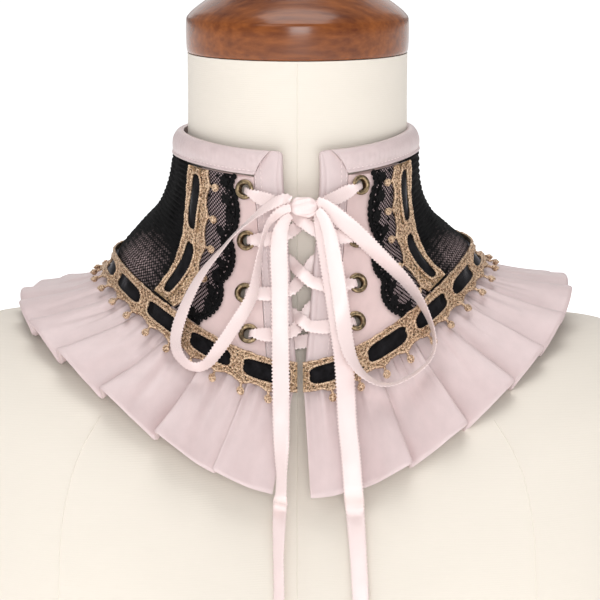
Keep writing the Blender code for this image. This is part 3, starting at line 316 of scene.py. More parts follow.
RIBBON_THICK, RIBBON_STEP, RIBBON_LOOP, RIBBON_LOOP_PITCH = 0.5, 0.42, 0.42, 1.7
KNOT_CENTRE = (3.1, 56.8, 6.8)
KNOT_HALF = (6.3, 5.5, 3.6)
LENS, CAMERA_PITCH, CAMERA_DISTANCE, CAMERA_SIDEWAYS = 168.0, 10.0, 1.4, 0.00125


# ---------------------------------------------------------------- the cloth surface
def blend(table, place):
    """Rows of a table at fractional places, through a smooth curve."""
    rows = np.array(table, float)
    last = len(rows) - 1
    place = np.clip(np.asarray(place, float), 0.0, last)
    start = np.minimum(place.astype(int), last - 1)
    t = (place - start)[..., None]
    before, here = rows[np.maximum(start - 1, 0)], rows[start]
    after, beyond = rows[start + 1], rows[np.minimum(start + 2, last)]
    leave, arrive = (after - before) / 2, (beyond - here) / 2
    return (here * (1 + 2 * t) * (1 - t) ** 2 + leave * t * (1 - t) ** 2
            + after * t * t * (3 - 2 * t) + arrive * t * t * (t - 1))


def surface(rings, place, angle):
    """Points on the surface through the rings, at a place between rings and an angle."""
    place, angle = np.broadcast_arrays(np.asarray(place, float), np.asarray(angle, float))
    (side_r, side_z, front_r, front_z, back_r, back_z, square, dip, tilt, turn, lean,
     rise) = np.moveaxis(blend(rings, place), -1, 0)
    phi = np.radians(angle)
    across, along = np.abs(np.sin(phi)), np.cos(phi)
    end_r = np.where(along >= 0, front_r, back_r)
    end_z = np.where(along >= 0, front_z, back_z)
    reach = ((across / side_r) ** square + (np.abs(along) / end_r) ** square) ** (-1 / square)
    fall = np.where(along >= 0, 1 - across ** dip, along ** 2)
    turned = phi + np.radians(turn)
    x, y = reach * np.sin(turned), -reach * np.cos(turned)
    z = side_z + (end_z - side_z) * fall + tilt * x + rise * x * across ** 8
    return np.stack([x + lean * across ** 2, y, z], -1)


def unit(vectors):
    return vectors / np.maximum(np.linalg.norm(vectors, axis=-1, keepdims=True), 1e-9)


def one_degree(rings, place, angle):
    """The step along the surface as the angle grows by a degree."""
    return surface(rings, place, angle + ANGLE_STEP) - surface(rings, place, angle - ANGLE_STEP)


def out_of(rings, place, angle):
    """The way straight out of the surface."""
    below, above = np.minimum(place + PLACE_STEP, len(rings) - 1.0), np.maximum(place - PLACE_STEP, 0)
    down = surface(rings, below, angle) - surface(rings, above, angle)
    return unit(np.cross(down, one_degree(rings, place, angle)))


def cloth(place, angle, lift=0.0):
    """A point on the garment, moved out from the cloth by lift."""
    place, angle, lift = np.broadcast_arrays(*(np.asarray(v, float) for v in (place, angle, lift)))
    return surface(GARMENT_RINGS, place, angle) + out_of(GARMENT_RINGS, place, angle) * lift[..., None]


def table_value(table, column, place):
    return np.interp(place, [row.place for row in table], [getattr(row, column) for row in table])


def smooth_value(table, column, place):
    """As table_value, rounded over about a third of a ring."""
    return sum(table_value(table, column, np.asarray(place) + step) for step in (-0.3, -0.1, 0.1, 0.3)) / 4


def one_place(place, angle):
    """The step down the garment as the place grows by one."""
    above = surface(GARMENT_RINGS, place - PLACE_STEP, angle)
    return (surface(GARMENT_RINGS, place + PLACE_STEP, angle) - above) / (2 * PLACE_STEP)


def millimetres_per_ring(place, angle):
    return np.linalg.norm(one_place(place, angle), axis=-1)


def millimetres_per_degree(place, angle):
    return np.linalg.norm(one_degree(GARMENT_RINGS, place, angle), axis=-1)


def side_name(side):
    return "left" if side < 0 else "right"


def seam_angle(line, side, place):
    """Angle back from the front of the side seam or the lace's edge, positive on both sides."""
    return smooth_value(SEAM_ANGLES, line + "_" + side_name(side), place)


def front_angle(side, place, inset=0.0):
    """Angle of a front edge, or of a line that runs inset millimetres back from it."""
    away = smooth_value(FRONT_EDGES, side_name(side), place) + inset
    return side * away / millimetres_per_degree(place, side * 4.0)


def mitre_angle(side, place):
    inset = MITRE_AT_TOP + (PLACKET_WIDTH - MITRE_AT_TOP) * np.clip(place, 0, 1)
    return front_angle(side, place, inset)


def waves(x, y, seed, pitch):
    """Smooth, soft unevenness from -1 to 1, the same each run, for grids of x and y in mm."""
    random = np.random.default_rng(seed)
    total = 0.0
    for _ in range(7):
        turn, phase, size = random.uniform(0, math.pi), random.uniform(0, 6.28), random.uniform(0.7, 1.5)
        total = total + np.sin((x * math.cos(turn) + y * math.sin(turn)) * 6.283 / (pitch * size) + phase)
    return total / 4.5


# ---------------------------------------------------------------- making pieces
class Batch:
    """Points and faces that become one mesh."""

    def __init__(self):
        self.points, self.faces, self.uv, self.count = [], [], [], 0

    def add(self, points, faces, uv=None):
        points = np.asarray(points, float).reshape(-1, 3)
        self.points.append(points)
        self.uv.append(np.zeros((len(points), 2)) if uv is None else np.asarray(uv, float).reshape(-1, 2))
        self.faces += [[self.count + i for i in face] for face in faces]
        self.count += len(points)

    def make(self, name, finish, replaced=(), slot=None, sharp=50, shade=None):
        points = np.concatenate(self.points) + np.array([0.0, NECK_SET_BACK, NECK_MIDDLE])
        mesh = bpy.data.meshes.new(name)
        mesh.from_pydata((points * MM).tolist(), [], self.faces)
        corners = np.zeros(len(mesh.loops), np.int32)
        mesh.loops.foreach_get("vertex_index", corners)
        layer = mesh.uv_layers.new(name="UVMap")
        layer.data.foreach_set("uv", (np.concatenate(self.uv)[corners] / 100.0).ravel())
        if shade is not None:
            mesh.attributes.new("shade", "FLOAT", "POINT").data.foreach_set("value", np.ravel(shade))
        mesh.shade_smooth()
        mesh.set_sharp_from_angle(angle=math.radians(sharp))
        mesh.materials.append(finish)
        made = bpy.data.objects.new(name, mesh)
        bpy.context.collection.objects.link(made)
        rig.ride(made, "root")
        if replaced:
            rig.replaces(made, *replaced)
        if slot:
            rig.slot(made, slot)
        return made


def grid_faces(rows, columns, closed=False, shift=0, flip=False, looped=False):
    """Faces of a grid. closed joins the ends of each row, looped the last row to the first."""
    faces = []
    for i in range(rows if looped else rows - 1):
        here, after = shift + i * columns, shift + (i + 1) % rows * columns
        for j in range(columns if closed else columns - 1):
            k = (j + 1) % columns
            quad = [here + j, here + k, after + k, after + j]
            faces.append(quad[::-1] if flip else quad)
    return faces


def end_faces(rows, columns):
    """The two faces that close a stack of rings."""
    return [list(range(columns))[::-1], list(range((rows - 1) * columns, rows * columns))]


def wall(batch, outer, inner, uv, closed=False):
    """A closed sheet between an outer and an inner grid of points."""
    rows, columns = outer.shape[:2]
    shift = rows * columns
    faces = grid_faces(rows, columns, closed) + grid_faces(rows, columns, closed, shift, True)
    for j in range(columns if closed else columns - 1):
        k, foot = (j + 1) % columns, (rows - 1) * columns
        faces += [[k, j, shift + j, shift + k], [foot + j, foot + k, shift + foot + k, shift + foot + j]]
    if not closed:
        for i in range(rows - 1):
            a, b = i * columns, (i + 1) * columns
            faces += [[a, b, shift + b, shift + a],
                      [b + columns - 1, a + columns - 1, shift + a + columns - 1, shift + b + columns - 1]]
    uv = np.broadcast_to(uv, outer.shape[:2] + (2,)).reshape(-1, 2)
    batch.add(np.concatenate([outer.reshape(-1, 3), inner.reshape(-1, 3)]), faces, np.concatenate([uv, uv]))


def uv_grid(u, v):
    u, v = np.broadcast_arrays(np.asarray(u, float), np.asarray(v, float))
    return np.stack([u, v], -1)


def lengths(line):
    """Length along a line up to each of its points."""
    return np.concatenate([[0], np.cumsum(np.linalg.norm(np.diff(line, axis=0), axis=1))])


def sampled(at, s, line):
    """The line's points at lengths along it; s holds the length up to each point."""
    return np.stack([np.interp(at, s, line[:, k]) for k in range(line.shape[1])], 1)


def tube(batch, line, normal, radius, sides=8, closed=False, strands=0, pitch=1.4, flat=1.0):
    """A cord along a line. With strands it is a twisted one. normal points out of the cloth."""
    along = np.roll(line, -1, 0) - np.roll(line, 1, 0) if closed else np.gradient(line, axis=0)
    tangent = unit(along)
    across = unit(np.cross(tangent, normal))
    up = np.cross(across, tangent)
    turn = np.arange(sides) * 2 * math.pi / sides
    s = lengths(line)
    r = np.broadcast_to(np.asarray(radius, float), (len(line),))[:, None] * np.ones(sides)
    if strands:
        r = r * (1 + 0.2 * np.cos(strands * turn[None, :] - 2 * math.pi * s[:, None] / pitch))
    points = (line[:, None, :] + across[:, None, :] * (r * np.cos(turn))[..., None]
              + up[:, None, :] * (r * np.sin(turn) * flat)[..., None])
    faces = grid_faces(len(line), sides, True, looped=closed)
    if not closed:
        faces += end_faces(len(line), sides)
    batch.add(points, faces, uv_grid(s[:, None], r * turn))


def ball(batch, centre, radius, axis, rows=7, columns=12, ridges=0):
    """A round bead, or with ridges one wound with thread."""
    axis = unit(np.asarray(axis, float))
    side = unit(np.cross(axis, [0.31, 0.2, 0.93]))
    other = np.cross(axis, side)
    polar = np.linspace(0, math.pi, rows)[1:-1, None]
    spin = np.arange(columns)[None, :] * 2 * math.pi / columns
    r = radius * (1 + (0.07 * np.cos(ridges * spin) if ridges else 0 * spin)) * np.ones_like(polar)
    reach = r * np.sin(polar)
    points = (centre + (r * np.cos(polar))[..., None] * axis + (reach * np.cos(spin))[..., None] * side
              + (reach * np.sin(spin))[..., None] * other).reshape(-1, 3)
    last = (rows - 3) * columns
    poles = np.array([centre + axis * radius, centre - axis * radius])
    faces = grid_faces(rows - 2, columns, True)
    top = len(points)
    for j in range(columns):
        k = (j + 1) % columns
        faces += [[k, j, top], [last + j, last + k, top + 1]]
    batch.add(np.concatenate([points, poles]), faces)


def turned(batch, profile, centre, axis, sides, closed_profile):
    """A profile of radius and height turned round an axis."""
    axis = unit(np.asarray(axis, float))
    across = unit(np.cross(axis, [0.0, 0.0, 1.0] if abs(axis[2]) < 0.9 else [1.0, 0.0, 0.0]))
    other = np.cross(axis, across)
    spin = np.linspace(0, 2 * math.pi, sides, endpoint=False)
    rim = np.cos(spin)[:, None] * across + np.sin(spin)[:, None] * other
    points = np.concatenate([centre + r * rim + h * axis for r, h in profile])
    faces = grid_faces(len(profile), sides, True, looped=closed_profile)
    if not closed_profile:
        faces += end_faces(len(profile), sides)
    heights = np.repeat([h for _, h in profile], sides)
    batch.add(points, faces, uv_grid(np.tile(spin * 50, len(profile)), heights))


def inside(point, outline):
    x, y = point
    crossed = False
    for (x0, y0), (x1, y1) in zip(outline, outline[1:] + outline[:1]):
        if (y0 > y) != (y1 > y) and x < x0 + (y - y0) * (x1 - x0) / (y1 - y0):
            crossed = not crossed
    return crossed


def plate(batch, outline, holes, lay, low, high, inner_points=(), relief=None):
    """A sheet with holes, drawn flat in u and v and laid on the cloth between two heights."""
    loops = [list(outline)] + [list(hole) for hole in holes]
    flat, edges = [], []
    for loop in loops:
        start = len(flat)
        flat += [Vector(p) for p in loop]
        edges += [(start + i, start + (i + 1) % len(loop)) for i in range(len(loop))]
    flat += [Vector(p) for p in inner_points
             if inside(p, loops[0]) and not any(inside(p, h) for h in loops[1:])]
    spots, _, tiles, _, _, _ = delaunay_2d_cdt(flat, edges, [], 0, 1e-5)
    kept = []
    for tile in tiles:
        middle = sum((spots[i] for i in tile), Vector((0.0, 0.0))) / len(tile)
        if inside(middle, loops[0]) and not any(inside(middle, hole) for hole in loops[1:]):
            kept.append(list(tile))
    u, v = np.array([p.x for p in spots]), np.array([p.y for p in spots])
    raised = 0.0 if relief is None else relief(u, v)
    points = np.concatenate([lay(u, v, high + raised), lay(u, v, low + 0 * u)])
    shift = len(spots)
    sides = {}
    for tile in kept:
        for a, b in zip(tile, tile[1:] + tile[:1]):
            sides[(a, b)] = True
    faces = kept + [[shift + i for i in reversed(tile)] for tile in kept]
    faces += [[b, a, shift + a, shift + b] for a, b in sides if (b, a) not in sides]
    batch.add(points, faces, np.concatenate([uv_grid(u, v), uv_grid(u, v)]))


# ---------------------------------------------------------------- materials
class Finish:
    """A procedural material. Pattern coordinates are in millimetres along the cloth."""

    def __init__(self, name, colour, rough, **sockets):
        self.made = bpy.data.materials.new(name)
        self.made.use_nodes = True
        self.made.diffuse_color = (*colour, 1.0)
        self.tree = self.made.node_tree
        self.shader = self.tree.nodes["Principled BSDF"]
        self.shader.inputs["Base Color"].default_value = (*colour, 1.0)
        self.shader.inputs["Roughness"].default_value = rough
        for key, value in sockets.items():
            self.shader.inputs[key.replace("_", " ")].default_value = value
        self.coordinates = self.tree.nodes.new("ShaderNodeTexCoord")

    def node(self, kind, inputs=None, **settings):
        made = self.tree.nodes.new("ShaderNode" + kind)
        for key, value in settings.items():
            setattr(made, key, value)
        for key, value in (inputs or {}).items():
            if isinstance(value, bpy.types.NodeSocket):
                self.tree.links.new(value, made.inputs[key])
            else:
                made.inputs[key].default_value = value
        return made

    def stretched(self, vector, factors):
        return self.node("VectorMath", {0: vector, 1: factors}, operation="MULTIPLY").outputs[0]

    def cloth_mm(self):
        """Millimetres along and across the cloth; the mesh holds a hundredth of them."""
        return self.stretched(self.coordinates.outputs["UV"], (100.0,) * 3)

    def space_mm(self):
        return self.stretched(self.coordinates.outputs["Object"], (1000.0,) * 3)

    def math(self, operation, a, b=0.0):
        return self.node("Math", {0: a, 1: b}, operation=operation).outputs[0]

    def scaled(self, value, factor, offset):
        return self.math("ADD", self.math("MULTIPLY", value, factor), offset)

    def weighed(self, first, share, second, other):
        """Both values, each by its share, added up."""
        return self.scaled(first, share, self.math("MULTIPLY", second, other))

    def parts(self, vector):
        return self.node("SeparateXYZ", {0: vector}).outputs

    def thread(self, coordinate, pitch, phase=0.0):
        """A smooth wave from 0 to 1 across threads of this pitch."""
        return self.scaled(self.math("SINE", self.scaled(coordinate, 2 * math.pi / pitch, phase)), 0.5, 0.5)

    def noise(self, vector, pitch, detail=3.0, rough=0.55):
        return self.node("TexNoise", {"Vector": vector, "Scale": 1.0 / pitch, "Detail": detail,
                                      "Roughness": rough}).outputs["Fac"]

    def between(self, value, low, high):
        return self.node("MapRange", {0: value, 1: low, 2: high}, clamp=True).outputs[0]

    def mix(self, share, first, second):
        made = self.node("Mix", data_type="RGBA")
        for key, value in ((0, share), (6, first), (7, second)):
            if isinstance(value, bpy.types.NodeSocket):
                self.tree.links.new(value, made.inputs[key])
            else:
                made.inputs[key].default_value = (*value, 1.0)
        return made.outputs[2]

    def colour(self, value, low, high, first, second):
        """From the first colour to the second as the value goes from low to high."""
        socket = self.mix(self.between(value, low, high), first, second)
        self.tree.links.new(socket, self.shader.inputs["Base Color"])

    def rough(self, value, factor, offset):
        self.tree.links.new(self.scaled(value, factor, offset), self.shader.inputs["Roughness"])

    def bump(self, heights):
        """Heights are pairs of a value and its depth in millimetres."""
        normal = None
        for value, depth in heights:
            inputs = {"Height": value, "Distance": depth * MM, "Strength": 1.0}
            if normal is not None:
                inputs["Normal"] = normal
            normal = self.node("Bump", inputs).outputs[0]
        self.tree.links.new(normal, self.shader.inputs["Normal"])


def tinted(colour, factor):
    return tuple(min(1.0, c * factor) for c in colour)


def satin_finish(name, colour, rough, gloss, weave=0.34, drape=1.1):
    made = Finish(name, colour, rough, Specular_IOR_Level=gloss, Sheen_Weight=0.12, Sheen_Roughness=0.4,
                  Sheen_Tint=(1.0, 0.93, 0.92, 1.0))
    mm = made.cloth_mm()
    u, v, _ = made.parts(mm)
    twill = made.thread(made.scaled(v, 0.35, u), weave)
    filling = made.thread(v, weave * 1.25)
    slub = made.noise(mm, 7.0, 4.0)
    made.colour(made.weighed(twill, 0.25, slub, 0.75), 0.25, 0.75, tinted(colour, 0.93), tinted(colour, 1.06))
    made.rough(slub, 0.16, rough - 0.08)
    made.bump([(twill, 0.02), (filling, 0.012), (made.noise(mm, 18.0, 1.0), drape)])
    return made.made


def ribbon_finish():
    """Smooth pale satin with fine ribs across it."""
    colour = (0.83, 0.675, 0.655)
    made = Finish("Ribbon_Satin", colour, 0.22, Specular_IOR_Level=1.0, Sheen_Weight=0.3, Sheen_Roughness=0.4,
                  Sheen_Tint=(1.0, 0.95, 0.94, 1.0), Anisotropic=0.5)
    mm = made.cloth_mm()
    ribs, soft = made.thread(made.parts(mm)[0], 0.45), made.noise(mm, 11.0, 1.0)
    made.colour(made.weighed(ribs, 0.3, soft, 0.7), 0.2, 0.8, tinted(colour, 0.975), tinted(colour, 1.02))
    made.rough(ribs, 0.06, 0.22)
    made.bump([(ribs, 0.03)])
    return made.made


def linen_finish():
    colour = (0.76, 0.70, 0.62)
    made = Finish("Linen", colour, 0.85, Specular_IOR_Level=0.25, Sheen_Weight=0.15, Sheen_Roughness=0.6)
    mm = made.space_mm()
    uneven = made.noise(made.stretched(mm, (0.2, 0.2, 2.2)), 9.0, 2.0)
    ribs = made.thread(made.scaled(uneven, 0.7, made.parts(mm)[2]), 1.0)
    yarn = made.noise(made.stretched(mm, (0.35, 0.35, 3.0)), 2.2)
    shade = made.scaled(ribs, 0.22, made.weighed(yarn, 0.4, made.noise(mm, 60.0, 3.0), 0.4))
    made.colour(shade, 0.3, 0.75, tinted(colour, 0.985), tinted(colour, 1.01))
    made.bump([(ribs, 0.02), (yarn, 0.03)])
    return made.made


def wood_finish():
    made = Finish("Turned_Wood", (0.17, 0.045, 0.01), 0.3, Coat_Weight=0.3, Coat_Roughness=0.16,
                  Specular_IOR_Level=0.3)
    mm = made.space_mm()
    grain = made.noise(made.stretched(mm, (0.18, 1.6, 1.6)), 5.0, 6.0)
    figure = made.noise(made.stretched(mm, (0.3, 0.6, 0.9)), 22.0, 3.0)
    shade = made.weighed(grain, 0.6, figure, 0.4)
    made.colour(shade, 0.36, 0.66, (0.115, 0.026, 0.005), (0.29, 0.083, 0.016))
    made.rough(grain, 0.15, 0.16)
    made.bump([(grain, 0.04)])
    return made.made


def velvet_finish():
    made = Finish("Velvet", (0.0065, 0.006, 0.007), 0.95, Sheen_Weight=0.6, Sheen_Roughness=0.35,
                  Sheen_Tint=(0.55, 0.55, 0.6, 1.0), Specular_IOR_Level=0.1)
    mm = made.cloth_mm()
    nap, crush = made.noise(mm, 0.5, 3.0), made.noise(mm, 5.0, 2.0)
    made.colour(crush, 0.35, 0.7, (0.005, 0.0045, 0.005), (0.014, 0.013, 0.015))
    made.bump([(nap, 0.12), (crush, 0.4)])
    return made.made


def gold_finish(name, dark, bright, rough, pitch, depth):
    """Wound metal thread, with painted shade between its strands and painted glints on them."""
    made = Finish(name, bright, rough, Metallic=0.7, Specular_IOR_Level=0.8)
    mm = made.space_mm()
    wind = made.noise(mm, pitch, 2.0, 0.8)
    # Painted light: the dark colour is shade between the strands, the bright one is glints on them.
    made.colour(made.weighed(wind, 0.85, made.noise(mm, 5.0, 2.0), 0.15), 0.38, 0.56, dark, bright)
    made.rough(wind, 0.35, rough - 0.18)
    made.bump([(wind, depth)])
    return made.made


def brass_finish():
    made = Finish("Antique_Brass", (0.25, 0.18, 0.10), 0.32, Metallic=1.0)
    tarnish = made.noise(made.space_mm(), 1.6, 4.0)
    made.colour(tarnish, 0.35, 0.65, (0.11, 0.08, 0.05), (0.42, 0.31, 0.18))
    made.rough(tarnish, 0.35, 0.18)
    made.bump([(tarnish, 0.05)])
    return made.made


def net_holes(made, mm, pitch, patches, unevenness, low, high):
    """1 in the holes of a fine net, where the shade attribute, made patchy, leaves it open."""
    u, v, _ = made.parts(mm)
    one = made.thread(made.math("ADD", u, v), pitch)
    two = made.thread(made.math("SUBTRACT", u, v), pitch, 1.0)
    sheer = made.node("Attribute", attribute_name="shade").outputs["Fac"]
    patchy = made.scaled(made.math("SUBTRACT", patches, 0.5), unevenness, sheer)
    return made.math("MULTIPLY", made.between(made.math("MULTIPLY", one, two), 0.14, 0.34),
                     made.between(patchy, low, high))


def mesh_finish():
    """Black net over pink satin, black where the gathers are dense."""
    made = Finish("Gathered_Mesh", (0.008, 0.007, 0.008), 0.85, Specular_IOR_Level=0.12)
    mm = made.cloth_mm()
    hole = net_holes(made, mm, 1.9, made.noise(mm, 4.0, 3.0), 0.9, 0.25, 0.95)
    fine = made.noise(made.stretched(mm, (0.25, 1.6, 1.0)), 1.0, 3.0)
    black = made.mix(made.between(fine, 0.35, 0.7), (0.0015, 0.0014, 0.0015), (0.010, 0.0095, 0.010))
    made.colour(hole, 0.0, 1.0, black, (0.40, 0.30, 0.30))
    made.bump([(fine, 0.25), (made.thread(made.parts(mm)[0], 0.8), 0.05)])
    return made.made


def lace_net_finish():
    """Black net over the pink panel, solid along the lace's border."""
    made = Finish("Lace_Net", (0.008, 0.007, 0.008), 0.85, Specular_IOR_Level=0.12)
    mm = made.cloth_mm()
    clumps = made.noise(mm, 4.0, 2.0)
    hole = net_holes(made, mm, 1.75, clumps, 0.8, 0.4, 0.6)
    made.colour(hole, 0.0, 1.0, (0.003, 0.0028, 0.003), (0.36, 0.275, 0.28))
    made.bump([(made.math("SUBTRACT", 1.0, hole), 0.15), (clumps, 0.3)])
    return made.made


def black_thread_finish():
    made = Finish("Black_Thread", (0.006, 0.005, 0.006), 0.8, Specular_IOR_Level=0.12)
    fibre = made.noise(made.space_mm(), 0.5, 3.0)
    made.colour(fibre, 0.35, 0.7, (0.002, 0.002, 0.002), (0.013, 0.012, 0.013))
    made.bump([(fibre, 0.15)])
    return made.made


# One pink satin in three copies: the front panels' copy is lighter than the binding's and the ruffle's, as painted
# light for the panels' highlights.
SATIN = satin_finish("Pink_Satin", (0.73, 0.55, 0.53), 0.38, 0.7)
SATIN_BOUND = satin_finish("Pink_Satin_Binding", (0.64, 0.515, 0.51), 0.36, 0.75)
SATIN_RUFFLE = satin_finish("Pink_Satin_Ruffle", (0.645, 0.51, 0.505), 0.36, 0.8)
RIBBON = ribbon_finish()
THREAD = satin_finish("Pink_Thread", (0.84, 0.70, 0.69), 0.45, 0.4, 0.25)
# The gold thread's colour carries painted glints on its strands and painted shade between them.
GOLD = gold_finish("Gold_Thread", (0.27, 0.14, 0.075), (0.84, 0.62, 0.43), 0.3, 0.9, 0.8)
# The ground is a darker copy of the gold thread: painted shade under the cords and in the holes of its net.
GOLD_GROUND = gold_finish("Gold_Ground", (0.010, 0.005, 0.003), (0.50, 0.33, 0.19), 0.5, 1.1, 0.6)
LINEN, WOOD, VELVET, BRASS = linen_finish(), wood_finish(), velvet_finish(), brass_finish()
MESH, LACE_NET, BLACK_THREAD = mesh_finish(), lace_net_finish(), black_thread_finish()


# ---------------------------------------------------------------- the dress form
def dress_form():
    rows, columns = 150, 200
    angles = np.linspace(-180, 180, columns, endpoint=False)
    places = np.linspace(0, len(FORM_RINGS) - 1, rows)
    grid = surface(FORM_RINGS, places[:, None], angles[None, :])
    body = Batch()
    body.add(grid, grid_faces(rows, columns, True) + end_faces(rows, columns))
    body.make("Form", LINEN, ["form_body"], "linen")
    cap = Batch()
    profile = [tuple(row) for row in blend(CAP_PROFILE, np.linspace(0, len(CAP_PROFILE) - 1, 92))]
    turned(cap, profile, np.zeros(3), (0, 0, 1), 96, False)
    cap.make("Neck_Cap", WOOD, ["form_cap"], "wood", 60)
    form_seams()


def form_seams():
    """Sewn seams at the centre front and back, and curved ones over the chest and the back."""
    seams = Batch()

    def seam(places, angles, radius):
        tube(seams, surface(FORM_RINGS, places, angles), out_of(FORM_RINGS, places, angles), radius, 6)
    places = np.linspace(0.05, 11.9, 260)
    for centre in (0.0, 180.0):
        seam(places, np.full(len(places), centre), 0.32)
    places = np.linspace(6.9, 11.9, 120)
    for side in (-1, 1):
        for reach in (0.70, 1.0):
            stops = [57.0 * reach + 8, 62.0 * reach, 60.0 * reach]
            angles = side * np.interp(places, [6.9, 9.0, 12.0], stops)
            seam(places, angles if reach < 1 else 180.0 - angles * 0.75, 0.34)
    seams.make("Form_Seams", LINEN, (), "linen")


# ---------------------------------------------------------------- satin edges and panels
def stitch_row(batch, places, angles, lift, pitch, length, radius):
    """A row of small stitches along a line on the cloth."""
    line, normal = cloth(places, angles, lift), out_of(GARMENT_RINGS, places, angles)
    s = lengths(line)
    count = int(s[-1] / pitch)
    for index in range(count):
        middle = (index + 0.5) * pitch
        spots = middle + length * np.array([-0.5, -0.3, 0.0, 0.3, 0.5])
        points, normals = sampled(spots, s, line), sampled(spots, s, normal)
        size = radius * np.array([0.35, 0.9, 1.1, 0.9, 0.35])
        tube(batch, points + normals * np.array([-0.15, 0.05, 0.12, 0.05, -0.15])[:, None], normals, size, 6)


def top_band(stitches):
    rows, columns = 26, 420
    places = np.linspace(TOP, BAND_FOOT - 0.03, rows)[:, None]
    share = np.linspace(0, 1, columns)[None, :]
    seam = GAP / 2 / millimetres_per_degree(0.5, 0)
    start, end = mitre_angle(1, places) + seam, 360 + mitre_angle(-1, places) - seam
    angles = start + (end - start) * share
    across = np.clip((places - TOP) / (BAND_FOOT - TOP), 0, 1)
    puff = 0.25 + 2.0 * np.sin(math.pi * np.clip(across * 1.16, 0, 1)) ** 0.62
    puff = np.where(across > 0.86, 0.25 + 0.5 * np.sin(math.pi * (across - 0.86) / 0.14 * 0.9) ** 0.7, puff)
    along = angles * 1.06
    pucker = waves(along, 15 * across, 3, 9.0) * 0.16 + 0.12 * np.sin(along * 2.1 + 2 * np.sin(along * 0.11))
    fade = np.sin(math.pi * across) * (0.4 + 0.6 * across)
    outer = cloth(places, angles, puff + pucker * fade * 1.3)
    inner = cloth(places, angles, -BAND_WALL + 0 * share)
    batch = Batch()
    wall(batch, outer, inner, uv_grid(along, 15 * across))
    batch.make("Top_Band", SATIN_BOUND, ["top_band"], "satin")
    angles = np.linspace(float(mitre_angle(1, 0.9)) + 0.4, 359.6 + float(mitre_angle(-1, 0.9)), 700)
    stitch_row(stitches, np.full(len(angles), BAND_STITCH_PLACE), angles, 0.42, 2.4, 1.7, 0.24)


def placket(side, stitches):
    upper = np.array([0.005, 0.02, 0.05, 0.09, 0.14, 0.2, 0.27, 0.35, 0.45, 0.55, 0.66, 0.78, 0.9, 1.0])
    places = np.concatenate([upper, np.linspace(1.06, NECK_SEAM - 0.03, 110)])[:, None]
    height = places * millimetres_per_ring(0.5, 0)
    rounding = np.clip(CORNER_RADIUS - height, 0, CORNER_RADIUS)
    pulled_back = CORNER_RADIUS - np.sqrt(CORNER_RADIUS ** 2 - rounding ** 2)
    front = front_angle(side, places, pulled_back)
    back = np.where(places < 1, mitre_angle(side, places), front_angle(side, places, PLACKET_WIDTH))
    share = np.linspace(0, 1, 29)[None, :]
    angles = front + (back - front) * share
    mm = share * PLACKET_WIDTH
    puff = 0.22 * np.sin(math.pi * np.clip((mm - 3.4) / 10.2, 0, 1)) ** 0.5 + 0.2 * np.sin(
        math.pi * np.clip(mm / 3.2, 0, 1)) ** 0.5
    puff = puff - 0.15 * np.exp(-((mm - 3.3) / 0.35) ** 2) + 0.14 * waves(mm, places * 16, 11 + side, 17.0)
    round_edge = -0.9 * np.clip(1 - mm / 1.1, 0, 1) ** 2
    outer = cloth(places, angles, np.clip(puff, -0.2, 0.6) * 0.9 + round_edge)
    inner = cloth(places, angles, -PLACKET_WALL + 0.5 * np.clip(1 - mm / 1.1, 0, 1) ** 2 + 0 * places)
    batch = Batch()
    wall(batch, outer, inner, uv_grid(mm, places * 16))
    name = side_name(side)
    batch.make("Placket_" + name, SATIN_BOUND, ["placket_" + name], "satin")
    rows = np.linspace(0.32, NECK_SEAM - 0.55, 260)
    for inset in PLACKET_STITCH_INSETS:
        stitch_row(stitches, rows, front_angle(side, rows, inset), 0.22, 2.3, 1.6, 0.2)


def eyelet_spot(side, eyelet):
    if side < 0:
        return eyelet.left_place, -eyelet.left_angle
    return eyelet.right_place, eyelet.right_angle


def round_spot(place, angle, radius, sides):
    """Places and angles of a true circle on the cloth round a spot."""
    down, along = one_place(place, angle), one_degree(GARMENT_RINGS, place, angle)
    first = unit(along)
    second = unit(down - first * (down @ first))
    rim = []
    for index in range(sides):
        turn = 2 * math.pi * index / sides
        step = radius * (math.cos(turn) * first + math.sin(turn) * second)
        shift = np.linalg.lstsq(np.stack([down, along], 1), step, rcond=None)[0]
        rim.append((place + shift[0], angle + shift[1]))
    return rim


def flat_width(side, place, angle):
    """Millimetres from the centre front to an angle, as the front's pieces are drawn flat."""
    return np.abs(angle) * millimetres_per_degree(place, side * FRONT_MIDDLE)


def flat_lay(side):
    """Lays a front piece that is drawn flat, u across it and v down it, on the cloth."""
    def lay(u, v, lift):
        u, place = np.asarray(u, float), np.asarray(v, float) / FLAT_SCALE
        return cloth(place, side * u / millimetres_per_degree(place, side * FRONT_MIDDLE), lift)
    return lay


